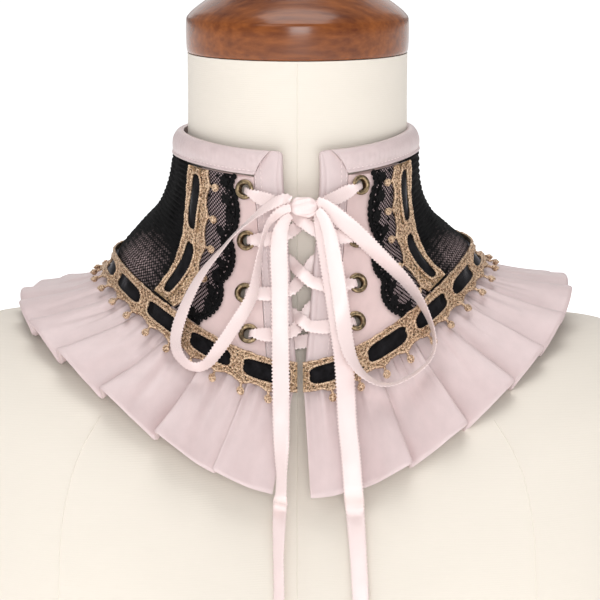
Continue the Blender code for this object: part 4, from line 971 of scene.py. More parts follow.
def front_panel(side):
    start, foot = BAND_FOOT + 0.03, NECK_SEAM - 0.03
    spots = [eyelet_spot(side, eyelet) for eyelet in EYELETS]

    def flat(place, angle, inset=0.0):
        return float(flat_width(side, place, angle)) + inset, place * FLAT_SCALE
    centres = [flat(place, angle) for place, angle in spots]

    def relief(u, v):
        dent = 0.16 * waves(u, v, 21 + side, 24.0)
        for cu, cv in centres:
            away = np.hypot(u - cu, v - cv)
            ray = np.arctan2(v - cv, u - cu)
            dent = dent + 0.16 * np.exp(-((away - 6.2) / 1.8) ** 2) * (0.5 + np.sin(ray * 5 + cu))
            dent = dent - 0.25 * np.exp(-(away / 4.6) ** 4)
        return np.clip(dent, -0.4, 0.25)
    places = np.linspace(start, foot, 60)
    name = side_name(side)
    near = [flat(p, front_angle(side, p, PLACKET_WIDTH), GAP) for p in places]
    far = [flat(p, table_value(SEAM_ANGLES, "seam_" + name, p), -GAP / 2) for p in places]
    holes = [[flat(p, a) for p, a in round_spot(place, angle, 3.3, 24)] for place, angle in spots]
    grid = [(u, v) for v in np.arange(start * FLAT_SCALE + 1.2, foot * FLAT_SCALE - 0.8, 1.5)
            for u in np.arange(14.0, 76.0, 1.5)]
    batch = Batch()
    plate(batch, near + far[::-1], holes, flat_lay(side), -PANEL_WALL, 0.0, grid, relief)
    # The panels take the lighter copy of the satin, which is painted light.
    batch.make("Front_Panel_" + name, SATIN, ["front_panel_" + name], "satin")


def back_panel(side):
    """Black mesh gathered in fine level ribs over satin, from the side braid to the back."""
    ribs, rows, columns = 27, 150, 104
    start, foot = BAND_FOOT + 0.03, NECK_SEAM - 0.03
    places = np.linspace(start, foot, rows)[:, None]
    near = seam_angle("seam", side, places) + GAP / 2 / millimetres_per_degree(places, SEAM_MIDDLE)
    far = 180.0 - GAP / 2 / millimetres_per_degree(places, 180.0)
    share = np.linspace(0, 1, columns)[None, :]
    angles = side * (near + (far - near) * share)
    down = (places - start) / (foot - start)
    along, fallen = np.abs(angles) * 1.25, down * MESH_HEIGHT
    drift = 0.9 * waves(along, fallen, 31 + side, 42.0) + 0.35 * waves(along, fallen, 41 + side, 13.0)
    wave = np.sin(2 * math.pi * (down * ribs) + drift * 2.2)
    height = 0.42 + 0.35 * waves(along, fallen, 51 + side, 17.0)
    fade = np.clip((BRAID_TOP + 0.25 - places) / 0.5, 0, 1) * np.clip((places - BAND_FOOT) / 0.1, 0, 1)
    raised = np.clip(wave, -0.55, 1.0) * np.clip(height, 0.12, 0.7) * fade
    near_braid = np.exp(-((along - along[:, :1]) / 9.0) ** 2)
    near_front = np.exp(-((along - along[:, :1] - 26.0) / 20.0) ** 2)
    sheer = 0.9 * near_front * np.clip((down - 0.45) / 0.35, 0, 1) * np.clip((1.02 - down) / 0.12, 0, 1)
    sheer = sheer + 0.3 * near_braid * np.clip(1 - down * 1.6, 0, 1) - 0.25 * np.clip(wave, 0, 1)
    sheer = np.clip(sheer, 0, 1)
    outer = cloth(places, angles, raised - 0.35)
    inner = cloth(places, angles, -MESH_WALL + 0 * share)
    batch = Batch()
    wall(batch, outer, inner, uv_grid(along, fallen))
    shade = np.concatenate([sheer.ravel(), np.zeros(sheer.size)])
    name = side_name(side)
    batch.make("Back_Panel_" + name, MESH, ["back_panel_" + name], "mesh", 60, shade)


# ---------------------------------------------------------------- trims
def side_seam_lay(side):
    """Lays u millimetres down the side seam from the band and v across it, v < 0 to the front."""
    places = np.linspace(BAND_FOOT, 5.6, 120)
    length = lengths(surface(GARMENT_RINGS, places, side * seam_angle("seam", side, places)))

    def lay(u, v, lift):
        place = np.interp(u, length, places)
        angle = seam_angle("seam", side, place) + v / millimetres_per_degree(place, SEAM_MIDDLE)
        return cloth(place, side * angle, lift)

    def down_to(place):
        return float(np.interp(place, places, length))
    return lay, down_to


def neck_seam_lay():
    """Lays u millimetres round the neck seam, from the right front edge by way of the back."""
    angles = np.linspace(0, 360, 961)
    length = lengths(surface(GARMENT_RINGS, NECK_SEAM, angles))

    def lay(u, v, lift):
        u, v = np.broadcast_arrays(np.asarray(u, float), np.asarray(v, float))
        angle = np.interp(u, length, angles)
        place = np.full(u.shape, NECK_SEAM)
        for _ in range(6):
            place = place + v / 6 / millimetres_per_ring(place, angle)
        return cloth(place, angle, lift)
    return lay, float(length[-1])


def laid_tube(batch, lay, u, v, height, radius, closed=False, step=0.5, **shape):
    """A cord at a height over the cloth, through u and v, resampled to even steps."""
    u, v = np.asarray(u, float), np.asarray(v, float)
    if closed:
        u, v = np.append(u, u[0]), np.append(v, v[0])
    s = lengths(np.stack([u, v], 1))
    count = max(6, int(s[-1] / step))
    at = np.linspace(0, s[-1], count, endpoint=not closed)
    u, v = np.interp(at, s, u), np.interp(at, s, v)
    if np.ndim(height):
        height = np.interp(at, s, height)
    line = lay(u, v, height + 0 * u)
    normal = unit(lay(u, v, height + 1.0 + 0 * u) - line)
    if np.ndim(radius):
        radius = np.interp(at, s, radius)
    tube(batch, line, normal, radius, closed=closed, **shape)


def rounded_window(start, period, points, grow):
    """One rounded window of the braid, as points round it."""
    left, right = start + BAR_LENGTH / 2 - grow, start + period - BAR_LENGTH / 2 + grow
    turn = np.linspace(0, 2 * math.pi, points, endpoint=False)
    square = 4.2
    x, y = np.cos(turn), np.sin(turn)
    reach = (np.abs(x) ** square + np.abs(y) ** square) ** (-1 / square)
    middle, long = (left + right) / 2, (right - left) / 2
    # The window's ends are rounder than its long sides are straight.
    u = middle + (np.sign(x) * np.clip(np.abs(x * reach), 0, 1) ** 0.75) * long
    v = y * reach * (WINDOW_HALF + grow) * (1 - 0.12 * np.abs(x * reach) ** 3)
    return u, v


def scallop(u, picots, pitch):
    """How far the picot edge reaches at u."""
    nearest = np.min(np.abs(u[:, None] - np.asarray(picots)[None, :]), axis=1)
    return SCALLOP_DIP + (SCALLOP_REACH - SCALLOP_DIP) * np.clip(1 - nearest / (pitch * 0.32), 0, 1) ** 0.8


def ring(batch, lay, u, v, across, along, height, radius):
    """One small loop of gold cord."""
    turn = np.linspace(0, 2 * math.pi, 16, endpoint=False)
    laid_tube(batch, lay, u + across * np.cos(turn), v + along * np.sin(turn), height, radius, closed=True,
              sides=6)


def braid(name, lay, start, end, windows, picots, replaced, narrow=1.0, bias=0.0, sway=0.0):
    """The gold braid: a filigree ground, painted dark as shade, under twisted cords, small loops and picots.

    narrow, bias and sway make the windows slimmer, move them across and lean them.
    """
    ground, cords = Batch(), Batch()
    period = (end - start) / windows
    edge_u = np.arange(start, end, 0.9)
    edge_v = scallop(edge_u, picots, picots[1] - picots[0])
    rail_u = np.linspace(end, start, int((end - start) / 2.2))
    outline = list(zip(edge_u, edge_v)) + [(end, SCALLOP_DIP)] + [(u, RAIL_EDGE) for u in rail_u]

    def window(index, points, grow=0.0):
        u, v = rounded_window(start + period * index, period, points, grow)
        return u, v * narrow + bias + sway * np.sin((u - start) * 2 * math.pi / period)

    def cord(u, v, lift, radius=CORD, **shape):
        laid_tube(cords, lay, u, v, high + lift, radius, strands=2, pitch=1.5, **shape)

    def zigzag(middle, reach, pitch, radius=FINE_CORD):
        v = middle + reach * np.sin(fine * 2 * math.pi / pitch)
        laid_tube(cords, lay, fine, v, high + 0.1, radius, sides=6)
    holes = [list(zip(*window(index, 34))) for index in range(windows)]
    low, high = BRAID_BASE, BRAID_BASE + BRAID_THICK
    grid = [(u, v) for u in np.arange(start + 1, end - 1, 2.2) for v in (-5.4, 5.6)]
    plate(ground, outline, holes, lay, low, high, grid)
    ground.make(name, GOLD_GROUND, replaced, "braid")
    u, fine = np.arange(start, end, 1.0), np.arange(start + 0.6, end - 0.6, 0.4)
    cord(u, RAIL_EDGE + 0.5 + (0.18 * np.sin(u * 0.9) + 0.12 * np.sin(u * 0.37 + 1)), 0.15)
    cord(edge_u, edge_v - 0.5 + 0.15 * np.sin(edge_u * 2.1), 0.15)
    zigzag(-5.35, 0.62, 2.3, 0.34)
    zigzag(5.6, 0.75, 2.7)
    if narrow < 1.0:
        zigzag(4.1, 0.5, 2.5)
    for index in range(windows):
        cord(*window(index, 60, 0.4), 0.3, 0.62, closed=True)
    random = np.random.default_rng(len(picots) + int(start))
    for index in range(windows + 1):
        bar = start + period * index
        for row, v in enumerate(np.linspace(-4.0, 4.0, 5)):
            for du in ((-1.2, 1.2) if row % 2 else (-2.2, 0.0, 2.2)):
                at = bar + du * (1.0 if abs(v) < 3 else 1.15) + random.uniform(-0.2, 0.2)
                if start + 1.4 < at < end - 1.4:
                    ring(cords, lay, at, v + random.uniform(-0.2, 0.2), 1.15, 0.95, high + 0.22, FINE_CORD)
    for at in picots:
        droop, sag = random.uniform(-0.5, 0.5), random.uniform(-0.3, 0.3)
        v = np.linspace(SCALLOP_REACH - 1.6, 10.4, 10)
        size = np.interp(v, [7.0, 8.2, 9.4, 10.4], [1.0, 0.72, 0.6, 0.8])
        height = np.linspace(high, high - 0.15, 10)
        laid_tube(cords, lay, at + droop * (v - 7.0) / 3.4, v, height, size, strands=2)
        ring(cords, lay, at, SCALLOP_REACH - 1.7, 1.3, 0.9, high + 0.2, 0.4)
        tip = at + droop * 1.2
        centre = lay(tip, PICOT_TIP + sag, high - 0.05)
        ball(cords, centre, PICOT_BEAD, lay(tip + 1.0, PICOT_TIP + sag, high - 0.05) - centre, 9, 16, 8)
        ring(cords, lay, tip, PICOT_TIP + sag, 1.45, 1.5, high + 0.5, 0.42)
    cords.make(name + "_Cords", GOLD, (), "braid")


def velvet_strip(name, lay, start, end, period, first, replaced):
    """Velvet ribbon under the braid, swelling a little in each window."""
    rows, columns = int((end - start) / 1.1), 15
    u = np.linspace(start, end, rows)[:, None]
    v = np.linspace(-VELVET_HALF, VELVET_HALF, columns)[None, :]
    phase = np.cos(2 * math.pi * (u - first) / period)
    swell = np.clip(0.25 - phase, 0, 1.25) / 1.25
    bulge = swell ** 0.7 * np.clip(1 - (v / WINDOW_HALF) ** 2, 0, 1) ** 0.6
    high = 1.0 + 1.35 * bulge + 0.12 * waves(u, v, 61, 6.0) * bulge
    batch = Batch()
    u, v = np.broadcast_arrays(u, v)
    wall(batch, lay(u, v, high + GAP), lay(u, v, GAP + 0 * high), uv_grid(u, v))
    batch.make(name, VELVET, replaced, "velvet")


def neck_trim():
    lay, length = neck_seam_lay()
    first = float(table_value(FRONT_EDGES, "right", NECK_SEAM))
    last = length - float(table_value(FRONT_EDGES, "left", NECK_SEAM))
    picots = np.linspace(first + PICOT_END, last - PICOT_END, NECK_PICOTS)
    braid("Braid_Neck", lay, first, last, NECK_WINDOWS, picots, ["braid_neck"])
    period = (last - first) / NECK_WINDOWS
    velvet_strip("Velvet_Neck", lay, first + 0.6, last - 0.6, period, first, ["velvet_neck"])


def side_trim(side):
    lay, down_to = side_seam_lay(side)
    top, foot = down_to(BAND_FOOT) + 0.6, down_to(NECK_SEAM) + RAIL_EDGE - SIDE_BRAID_CLEAR
    picots = [top + (foot - top) * share for share in SIDE_PICOT_SHARES]

    def facing_front(u, v, lift):
        return lay(u, -np.asarray(v, float), lift)
    name = side_name(side)
    braid("Braid_Side_" + name, facing_front, top, foot, SIDE_BRAID_WINDOWS, picots, ["braid_side_" + name],
          0.72, -1.1, 0.7)
    end = down_to(NECK_SEAM) - VELVET_HALF - 1.0
    velvet_strip("Velvet_Side_" + name, lay, top, end, (foot - top) / SIDE_BRAID_WINDOWS, top,
                 ["velvet_side_" + name])


def lace_edge(side, places):
    """Angles of the lace's scalloped front edge and of its straight back edge, both positive."""
    wave = np.abs(np.sin(math.pi * (places - FIRST_LACE_NOTCH) / LACE_SCALLOP_PITCH)) ** 0.7
    per_degree = millimetres_per_degree(places, side * FRONT_MIDDLE)
    front = seam_angle("lace", side, places) - (wave - 0.5) * LACE_SCALLOP_DEPTH / per_degree
    back = seam_angle("seam", side, places) - (VELVET_HALF + 0.6) / per_degree
    return front, back


def petal(batch, lay, u, v, turn, length, width, height):
    """One small raised petal of the lace's flowers."""
    t = np.linspace(0, 1, 7)
    half = width / 2 * np.sin(math.pi * t ** 0.8)
    du, dv = math.cos(turn), math.sin(turn)
    there, back = list(zip(t, half)), list(zip(t[-2:0:-1], -half[-2:0:-1]))
    rim = [(u + du * length * a - dv * b, v + dv * length * a + du * b) for a, b in there + back]
    plate(batch, rim, [], lay, height - 0.15, height + 0.25)


def lace(side):
    """Black lace: a dense scalloped border with flowers, and open net beside the braid."""
    places = np.linspace(BAND_FOOT + 0.03, LACE_FOOT, 170)
    front, back = lace_edge(side, places)
    per_degree = millimetres_per_degree(places, side * FRONT_MIDDLE)
    lace_net(side, places[:, None], front[:, None], back[:, None], per_degree[:, None])
    lace_work(side, places * FLAT_SCALE, front * per_degree, back * per_degree)


def lace_net(side, places, front, back, per_degree):
    share = np.linspace(0, 1, 40)[None, :]
    angles = side * (front + (back - front) * share)
    down = places * FLAT_SCALE
    lift = GAP + 0.45 + 0.12 * waves(angles * per_degree, down, 71 + side, 7.0)
    from_edge = (back - front) * share * per_degree
    border = 4.6 + 1.8 * np.sin(down * 0.42 + side)
    pins = np.exp(-((from_edge - 2.9) / 0.5) ** 2) * np.clip(np.sin(down * 2 * math.pi / 2.9), 0, 1)
    sheer = np.clip(np.maximum((from_edge - border) / 1.2, 1.4 * pins), 0, 1)
    net = Batch()
    wall(net, cloth(places, angles, lift), cloth(places, angles, GAP + 0 * lift),
         uv_grid(angles * per_degree, down))
    name = side_name(side)
    net.make("Lace_Net_" + name, LACE_NET, ["lace_" + name], "lace",
             shade=np.concatenate([sheer.ravel(), np.zeros(sheer.size)]))


def lace_work(side, v, edge, far):
    """The raised threads: the scalloped edge, small petals, a stem with flowers, and dots."""
    lay, work, high = flat_lay(side), Batch(), GAP + 0.7

    def dot(u, v, lift, radius, columns=8):
        ball(work, lay(u, v, high + lift), radius, (0, 0, 1), 5, columns)
    laid_tube(work, lay, edge + 0.5, v, high, 0.5, sides=7, strands=2, pitch=1.2)
    for at in np.arange(v[0] + 1.0, v[-1], 2.3):
        base = np.interp(at, v, edge)
        turn = np.linspace(-1.9, 1.9, 12)
        laid_tube(work, lay, base + 0.7 - 1.25 * np.cos(turn), at + 1.15 * np.sin(turn), high, 0.42,
                  step=0.4, sides=6)
        dot(base + 0.5, at, 0.0, 0.62, 7)
    random = np.random.default_rng(5 + side)
    for row, reach in enumerate((1.7, 4.3)):
        for at in np.arange(v[0] + 0.8 + row * 0.5, v[-1] - 0.6, 1.5):
            base = np.interp(at, v, edge) + reach + random.uniform(-0.3, 0.3)
            petal(work, lay, base, at + random.uniform(-0.3, 0.3), random.uniform(0, 6.28), 1.7, 1.1, high)
    stem_v = np.linspace(v[0] + 1, v[-1] - 1, 120)
    middle = np.interp(stem_v, v, edge) + 5.2
    sway = 1.6 * np.sin(stem_v * 2 * math.pi / 15.0 + side)
    laid_tube(work, lay, middle + sway, stem_v, high, 0.42, step=0.6, sides=6)
    for index, at in enumerate(np.arange(v[0] + 4.0, v[-1] - 3, 7.5)):
        centre = np.interp(at, stem_v, middle) + (1.6 if index % 2 else -0.4)
        turn = random.uniform(0, 1)
        for k in range(6):
            petal(work, lay, centre, at, turn + k * math.pi / 3, 2.9, 2.0, high)
        dot(centre, at, 0.2, 0.6)
    for at in np.arange(v[0] + 2.0, v[-1] - 1, 5.1):
        low, top = np.interp(at, v, edge) + 6.0, np.interp(at, v, far) - 1.0
        if top > low:
            dot(random.uniform(low, top), at, -0.1, 0.75)
    work.make("Lace_Work_" + side_name(side), BLACK_THREAD, (), "lace")


def eyelets(side):
    for eyelet in EYELETS:
        place, angle = eyelet_spot(side, eyelet)
        centre = cloth(place, angle)
        axis = cloth(place, angle, 1.0) - centre
        batch = Batch()
        turned(batch, EYELET_PROFILE, centre, axis, 48, True)
        name = "_%s_%d" % (side_name(side), eyelet.row)
        batch.make("Eyelet" + name, BRASS, ["eyelet" + name], "brass", 40)


# ---------------------------------------------------------------- the ruffle
def fold_columns(folds):
    """Angle back from the front edge, height from 0 to 1, depth and overhang, column by column."""
    columns = [(0.0, 0.55, folds[0].depth, 0.0)]
    valley = 0.0
    for fold in folds:
        for share, height in ((0.38, 0.45), (0.72, 0.85)):
            columns.append((valley + (fold.ridge - valley) * share, height, fold.depth, 0.0))
        columns.append((fold.ridge, 1.0, fold.depth, FOLD_OVERHANG))
        columns.append((fold.ridge + FOLD_DROP_WIDTH / 2, 0.42, fold.depth, 0.3 * FOLD_OVERHANG))
        valley = fold.ridge + FOLD_DROP_WIDTH
        columns.append((valley, 0.0, fold.depth, -0.4 * FOLD_OVERHANG))
    return np.array(columns)


def ruffle():
    """The gathered ruffle: folds that fall away from the front, fine gathers and a turned hem."""
    places = RUFFLE_TOP + (HEM - RUFFLE_TOP) * np.linspace(0, 1, 34)[:, None] ** 0.95
    spread = (places - RUFFLE_TOP) / (HEM - RUFFLE_TOP)
    sink = FOLD_SINK * np.clip(spread * 1.3, 0, 1)
    rise = FOLD_RISE * np.clip((places - 6.35) / 0.65, 0, 1)
    angles, lifts = [], []
    for side, folds in ((1, RIGHT_FOLDS), (-1, LEFT_FOLDS)):
        table = fold_columns(folds)
        spots = np.linspace(0, len(table) - 1, 5 * (len(table) - 1) + 1)
        back, height, depth, over = blend(table, spots).T
        height = np.clip(height, 0, 1.02)
        edge = side * front_angle(side, places)
        angle = side * (back + edge * (1 - back / 180) ** 2 + over * spread)
        along = back * 1.9
        gather = 0.8 * np.sin(along * 1.1 + 2.6 * np.sin(along * 0.21))
        gather = gather + 0.6 * waves(along, 0 * along, 83 + side, 4.4)
        gather = gather * np.clip(1 - spread * 1.2, 0, 1) ** 1.3
        soft = 0.95 * waves(along + 0 * places, spread * 42, 91 + side, 26.0) * np.clip(spread * 2, 0, 1)
        soft = soft + 0.16 * waves(along + 0 * places, spread * 12, 95 + side, 9.0)
        random = np.random.default_rng(40 + side)
        for fold in folds:
            for _ in range(3):
                at, wide = fold.ridge + random.uniform(-11.0, 1.5), random.uniform(0.55, 1.3)
                deep, reach = random.uniform(1.1, 2.6), random.uniform(0.4, 1.1)
                fade = np.clip(1 - spread / reach, 0, 1) ** 0.8 * np.clip(spread * 10, 0, 1)
                middle = at + 1.5 * spread * random.uniform(-1, 1)
                soft = soft - deep * fade * np.exp(-((back - middle) / wide) ** 2)
                soft = soft + 0.6 * deep * fade * np.exp(-((back - middle - 1.9 * wide) / (1.4 * wide)) ** 2)
            under_fold = (back - fold.ridge - 0.85 * FOLD_DROP_WIDTH) / (0.4 * FOLD_DROP_WIDTH)
            soft = soft - 2.0 * fold.depth * np.clip(spread * 2.5, 0, 1) * np.exp(-under_fold ** 2)
        fall = depth * (rise * height - sink * (1 - height)) - RUFFLE_ROOT_SINK * (1 - spread)
        angles.append(angle)
        lifts.append(fall + gather * np.clip(spread * 12, 0, 1) - 0.35 + soft * 0.6)
    angle = np.concatenate([angles[0], 360 + angles[1][:, ::-1]], 1)
    lift = np.concatenate([lifts[0], lifts[1][:, ::-1]], 1)
    outer = cloth(places, angle, lift)
    normal = unit(np.cross(np.gradient(outer, axis=0), np.gradient(outer, axis=1)))
    # The hem is folded: the sheet thickens a little and its edge is round.
    hem = np.clip((spread - 0.955) / 0.045, 0, 1)[..., None]
    body = 0.55 * RUFFLE_WALL + 0.45 * RUFFLE_WALL * np.clip((spread - 0.8) / 0.15, 0, 1)[..., None]
    rounding = 0.5 * body * (1 - np.sqrt(np.clip(1 - hem ** 2, 0, 1)))
    batch = Batch()
    wall(batch, outer - normal * rounding, outer - normal * (body - rounding),
         uv_grid(lengths(outer[-1])[None, :], spread * 46))
    batch.make("Ruffle", SATIN_RUFFLE, ["ruffle"], "satin", 70)


# ---------------------------------------------------------------- the ribbon
def smooth_path(points, steps):
    return blend(points, np.linspace(0, len(points) - 1, steps))


def ribbon(name, line, facing, widths, replaced, curl=0.25):
    """A satin ribbon along a line, a little crowned, with picot loops along both edges."""
    s = lengths(line)
    at = np.linspace(0, s[-1], max(24, int(s[-1] / RIBBON_STEP)))
    rough, facing, widths = sampled(at, s, line), unit(sampled(at, s, facing)), np.interp(at, s, widths)
    # The long stretches are smoothed over more of their length than the short ones.
    reach = 6 if s[-1] > 80 else 2
    kernel = np.ones(2 * reach + 1) / (2 * reach + 1)
    padded = np.pad(rough, ((reach, reach), (0, 0)), mode="reflect", reflect_type="odd")
    line = np.stack([np.convolve(padded[:, k], kernel, "valid") for k in range(3)], 1)
    line[0], line[-1] = rough[0], rough[-1]
    tangent = unit(np.gradient(line, axis=0))
    across = unit(np.cross(tangent, facing))
    normal = unit(np.cross(across, tangent))
    share = np.array([-1.0, -0.93, -0.84, -0.6, -0.3, 0.0, 0.3, 0.6, 0.84, 0.93, 1.0])
    loops = RIBBON_LOOP * np.sin(at * 2 * math.pi / RIBBON_LOOP_PITCH)
    half = widths[:, None] / 2 * share[None, :] + np.sign(share)[None, :] * np.where(
        np.abs(share) > 0.99, loops[:, None], 0.0)
    crown = -curl * (np.abs(share) ** 2.5)[None, :] * (widths[:, None] / 8) + 0.06 * np.exp(
        -((np.abs(share) - 0.9) / 0.05) ** 2)[None, :]
    crown = crown + 0.10 * waves(at[:, None], share[None, :] * 4, len(name), 14.0)
    middle = line[:, None, :] + across[:, None, :] * half[..., None] + normal[:, None, :] * crown[..., None]
    thick = RIBBON_THICK / 2 * (1 - 0.45 * np.abs(share) ** 6)[None, :, None]
    outer, inner = middle + normal[:, None, :] * thick, middle - normal[:, None, :] * thick
    batch = Batch()
    wall(batch, outer, inner, uv_grid(at[:, None], half))
    return batch.make(name, RIBBON, replaced, "ribbon", 60), line


def front_depth(across, up):
    """How far back the cloth, or below the hem the form, lies at a place seen from the front.

    A surface that doesn't reach that height is given as far behind.
    """
    best = []
    for x, z in zip(across, up):
        depths = []
        for rings in (GARMENT_RINGS, FORM_RINGS):
            places = np.linspace(0, len(rings) - 1, 160)
            angle = np.zeros(len(places))
            for _ in range(6):
                spot = surface(rings, places, angle)
                angle = angle + (x - spot[:, 0]) / millimetres_per_degree(3.0, 0)
            spot = surface(rings, places, angle)
            order = np.argsort(spot[:, 2])
            depths.append(np.interp(z, spot[order, 2], spot[order, 1], left=NOWHERE, right=NOWHERE))
        best.append(min(depths))
    return np.array(best)


def ply_ribbon(name, plies, steps, replaced, curl=0.25):
    """A free stretch of ribbon from its table of plies, where its CAD solid lies."""
    rows = smooth_path(plies, steps)
    across, up, lift, width, turn = rows.T
    depth = np.minimum(front_depth(across, up), front_depth(across, up + HEM_CLEARANCE)) - lift
    line = np.stack([across, depth, up], 1)
    tangent = unit(np.gradient(line, axis=0))
    front = np.array([0.0, -1.0, 0.0]) + 0 * line
    flat = unit(front - tangent * (front * tangent).sum(1, keepdims=True))
    angle = np.radians(turn)[:, None]
    facing = flat * np.cos(angle) + np.cross(tangent, flat) * np.sin(angle)
    fine = np.linspace(0, steps - 1, steps * 6)
    widths = blend(width[:, None], fine)[:, 0]
    return ribbon(name, blend(line, fine), blend(facing, fine), widths, replaced, curl)


def laced(name, place, angle, lift, widths, curl):
    """A stretch of ribbon that lies over, or under, the cloth's edge."""
    line = cloth(place, angle, lift)
    facing = cloth(place, angle, lift + 1) - line
    ribbon("Ribbon_" + name, line, facing, widths, ["ribbon_" + name.lower()], curl)


def crossings():
    """The six crossings, each from an eyelet up to the next one across, and the bar at the bottom."""
    for side in (-1, 1):
        table = [(s.way, s.climb, s.lift_left if side < 0 else s.lift_right, s.width) for s in CROSSING]
        way, climb, lift, width = smooth_path(table, 89).T
        for lower, upper in zip(EYELETS[1:], EYELETS[:-1]):
            start, end = eyelet_spot(side, lower), eyelet_spot(-side, upper)
            place = start[0] + (end[0] - start[0]) * climb
            stops = [start[1], front_angle(side, place[28]), front_angle(-side, place[72]), end[1]]
            angle = np.interp(way, [0, 1, 2, 3], stops)
            laced("cross_%s_%d" % (side_name(side), lower.row), place, angle, lift, width, 0.15)
    left, right = np.array(eyelet_spot(-1, EYELETS[-1])), np.array(eyelet_spot(1, EYELETS[-1]))
    share = np.linspace(0, 1, 60)
    place, angle = left[:, None] + (right - left)[:, None] * share
    laced("Bottom_Bar", place, angle, BOTTOM_BAR_LIFT + 0 * share, BOTTOM_BAR_WIDTH + 0 * share, 0.1)


def knot():
    """The knot: a puffed wrap of ribbon pulled into soft creases."""
    depth = front_depth([KNOT_CENTRE[0]], [KNOT_CENTRE[1]])[0] - KNOT_CENTRE[2]
    rows, columns = 45, 64
    polar = np.linspace(0.04, math.pi - 0.04, rows)[:, None]
    spin = np.linspace(0, 2 * math.pi, columns, endpoint=False)[None, :]

    def rounded(value):
        return np.sign(value) * np.abs(value) ** 0.88
    crease = 1 + 0.10 * np.sin(spin * 8 + 3.0 * np.cos(polar)) * np.sin(polar)
    crease = crease + 0.07 * np.sin(spin * 3 + 1 + polar)
    waist = 0.97 - 0.14 * np.exp(-((np.cos(polar) - 0.15) / 0.35) ** 2)
    reach = rounded(np.sin(polar)) * crease * waist
    x = KNOT_CENTRE[0] - KNOT_HALF[0] * rounded(np.cos(polar)) + 0 * spin
    z = KNOT_CENTRE[1] + KNOT_HALF[1] * 0.9 * reach * rounded(np.cos(spin))
    y = depth + KNOT_HALF[2] * 0.95 * reach * rounded(np.sin(spin))
    batch = Batch()
    grid = np.stack([x, y, z], -1)
    faces = grid_faces(rows, columns, True) + end_faces(rows, columns)
    batch.add(grid, faces, uv_grid(np.cos(polar) * 6, spin * 5))
    return batch.make("Bow_Knot", RIBBON, ["bow_knot"], "ribbon", 70)


def bow():
    """The bow with its tails, each loop and tail a cord of its own; the first carries the knot."""
    knot_made = knot()
    ply_ribbon("Ribbon_Top_Left", TOP_LEFT, 11, ["ribbon_top_left"], 0.15)
    ply_ribbon("Ribbon_Top_Right", TOP_RIGHT, 11, ["ribbon_top_right"], 0.15)
    for name, plies, steps, far_end in (
            ("Bow_Loop_Left", LOOP_LEFT, 31, "object"), ("Bow_Loop_Right", LOOP_RIGHT, 31, "object"),
            ("Tail_Left", TAIL_LEFT, 23, "bare"), ("Tail_Right", TAIL_RIGHT, 21, "bare")):
        piece, line = ply_ribbon(name, plies, steps, [name.lower()])
        path = (line + np.array([0.0, NECK_SET_BACK, NECK_MIDDLE])) * MM
        length = float(lengths(path)[-1])
        width = float(np.median([p.width for p in plies])) * MM
        carried = [knot_made] if name == "Bow_Loop_Left" else []
        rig.cord(piece, exit=path[0], length=length, diameter=width, far_end=far_end, stiffness="limp",
                lay="hanging", path=path[::4], with_pieces=carried)


# ---------------------------------------------------------------- camera and light
def camera():
    data = bpy.data.cameras.new("Camera")
    data.lens, data.sensor_width, data.clip_end = LENS, 36.0, 50.0
    eye = bpy.data.objects.new("Camera", data)
    bpy.context.collection.objects.link(eye)
    pitch = math.radians(CAMERA_PITCH)
    target = Vector((CAMERA_SIDEWAYS, NECK_SET_BACK * MM, NECK_MIDDLE * MM))
    eye.location = target + Vector((0.0, -math.cos(pitch), math.sin(pitch))) * CAMERA_DISTANCE
    eye.rotation_euler = (target - eye.location).to_track_quat("-Z", "Y").to_euler()
    bpy.context.scene.camera = eye


def area(name, place, target, size, power):
    data = bpy.data.lights.new(name, "AREA")
    data.shape, data.size, data.size_y, data.energy = "RECTANGLE", size[0], size[1], power
    lamp = bpy.data.objects.new(name, data)
    bpy.context.collection.objects.link(lamp)
    lamp.location = place
    lamp.rotation_euler = (Vector(target) - Vector(place)).to_track_quat("-Z", "Y").to_euler()


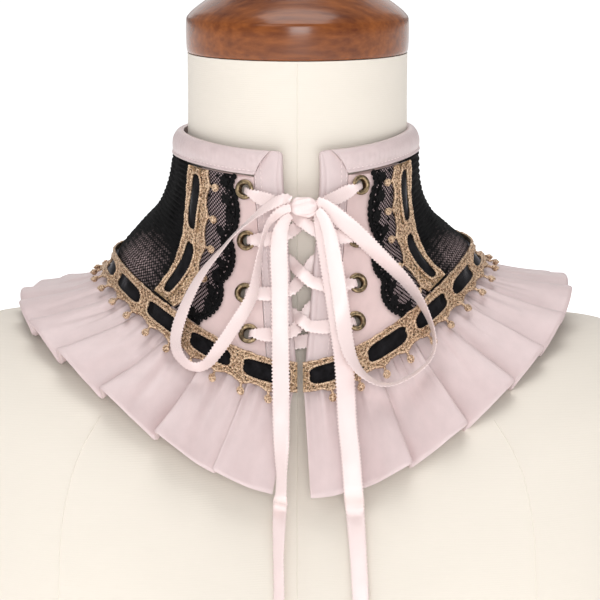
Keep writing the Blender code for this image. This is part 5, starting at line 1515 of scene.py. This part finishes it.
def studio():
    world = bpy.data.worlds.new("Studio")
    world.use_nodes = True
    sky = world.node_tree.nodes["Background"].inputs
    sky["Color"].default_value, sky["Strength"].default_value = (1.0, 1.0, 1.0, 1.0), 0.36
    bpy.context.scene.world = world
    bpy.context.scene.view_settings.view_transform = "Standard"
    area("Key", (-0.8, -1.5, 1.5), (0.0, 0.0, 0.25), (1.0, 0.9), 4.5)
    area("Fill", (0.1, -2.3, 0.7), (0.0, 0.0, 0.25), (0.8, 0.8), 16.0)
    area("Overhead", (0.0, -0.2, 2.0), (0.0, 0.0, 0.25), (1.2, 1.2), 15.0)
    area("Back", (0.0, 1.8, 1.2), (0.0, 0.0, 0.3), (2.0, 1.4), 6.0)
    mesh = bpy.data.meshes.new("Floor")
    mesh.from_pydata([(-6, -6, 0), (6, -6, 0), (6, 8, 0), (-6, 8, 0)], [], [(0, 1, 2, 3)])
    floor = bpy.data.objects.new("Floor", mesh)
    pale = Finish("Pale_Floor", (0.93, 0.93, 0.93), 0.9, Emission_Strength=0.76)
    pale.shader.inputs["Emission Color"].default_value = (1, 1, 1, 1)
    mesh.materials.append(pale.made)
    bpy.context.collection.objects.link(floor)
    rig.stage(floor)


def declare_sheets():
    """The size that each piece of cloth was cut to, in metres, as far as it shows."""
    def sheet(name, width, length, held, rests_on, area=None, extra=()):
        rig.sheet(bpy.data.objects[name], flat=(width, length), held=held, rests_on=rests_on, area=area,
                 with_pieces=[bpy.data.objects[each] for each in extra])
    sheet("Top_Band", 0.0140, 0.372, "folded", ["form_body"], extra=["Stitching"])
    sheet("Ruffle", 0.0480, 0.900, "gathered", ["form_body"])
    for side in ("left", "right"):
        sheet("Placket_" + side, 0.0150, 0.108, "folded", ["form_body"])
        sheet("Front_Panel_" + side, 0.0480, 0.094, "stretched", ["form_body"], 0.0038)
        sheet("Back_Panel_" + side, 0.0860, 0.172, "gathered", ["form_body"], 0.0140)
        sheet("Lace_Net_" + side, 0.0185, 0.072, "laid", ["Front_Panel_" + side], extra=["Lace_Work_" + side])
        sheet("Velvet_Side_" + side, 0.0102, 0.074, "laid", ["Front_Panel_" + side])
    sheet("Velvet_Neck", 0.0102, 0.590, "laid", ["Ruffle"])


camera()
bow()
studio()
dress_form()
stitches = Batch()
top_band(stitches)
for each in (-1, 1):
    placket(each, stitches)
    front_panel(each)
    back_panel(each)
    lace(each)
    side_trim(each)
    eyelets(each)
stitches.make("Stitching", THREAD, (), "satin")
neck_trim()
ruffle()
crossings()
declare_sheets()

final_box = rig.bounds()
with open("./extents.json", "w") as out:
    json.dump({"cad": [list(map(float, corner)) for corner in cad_box],
               "visual": [list(map(float, corner)) for corner in final_box]}, out)
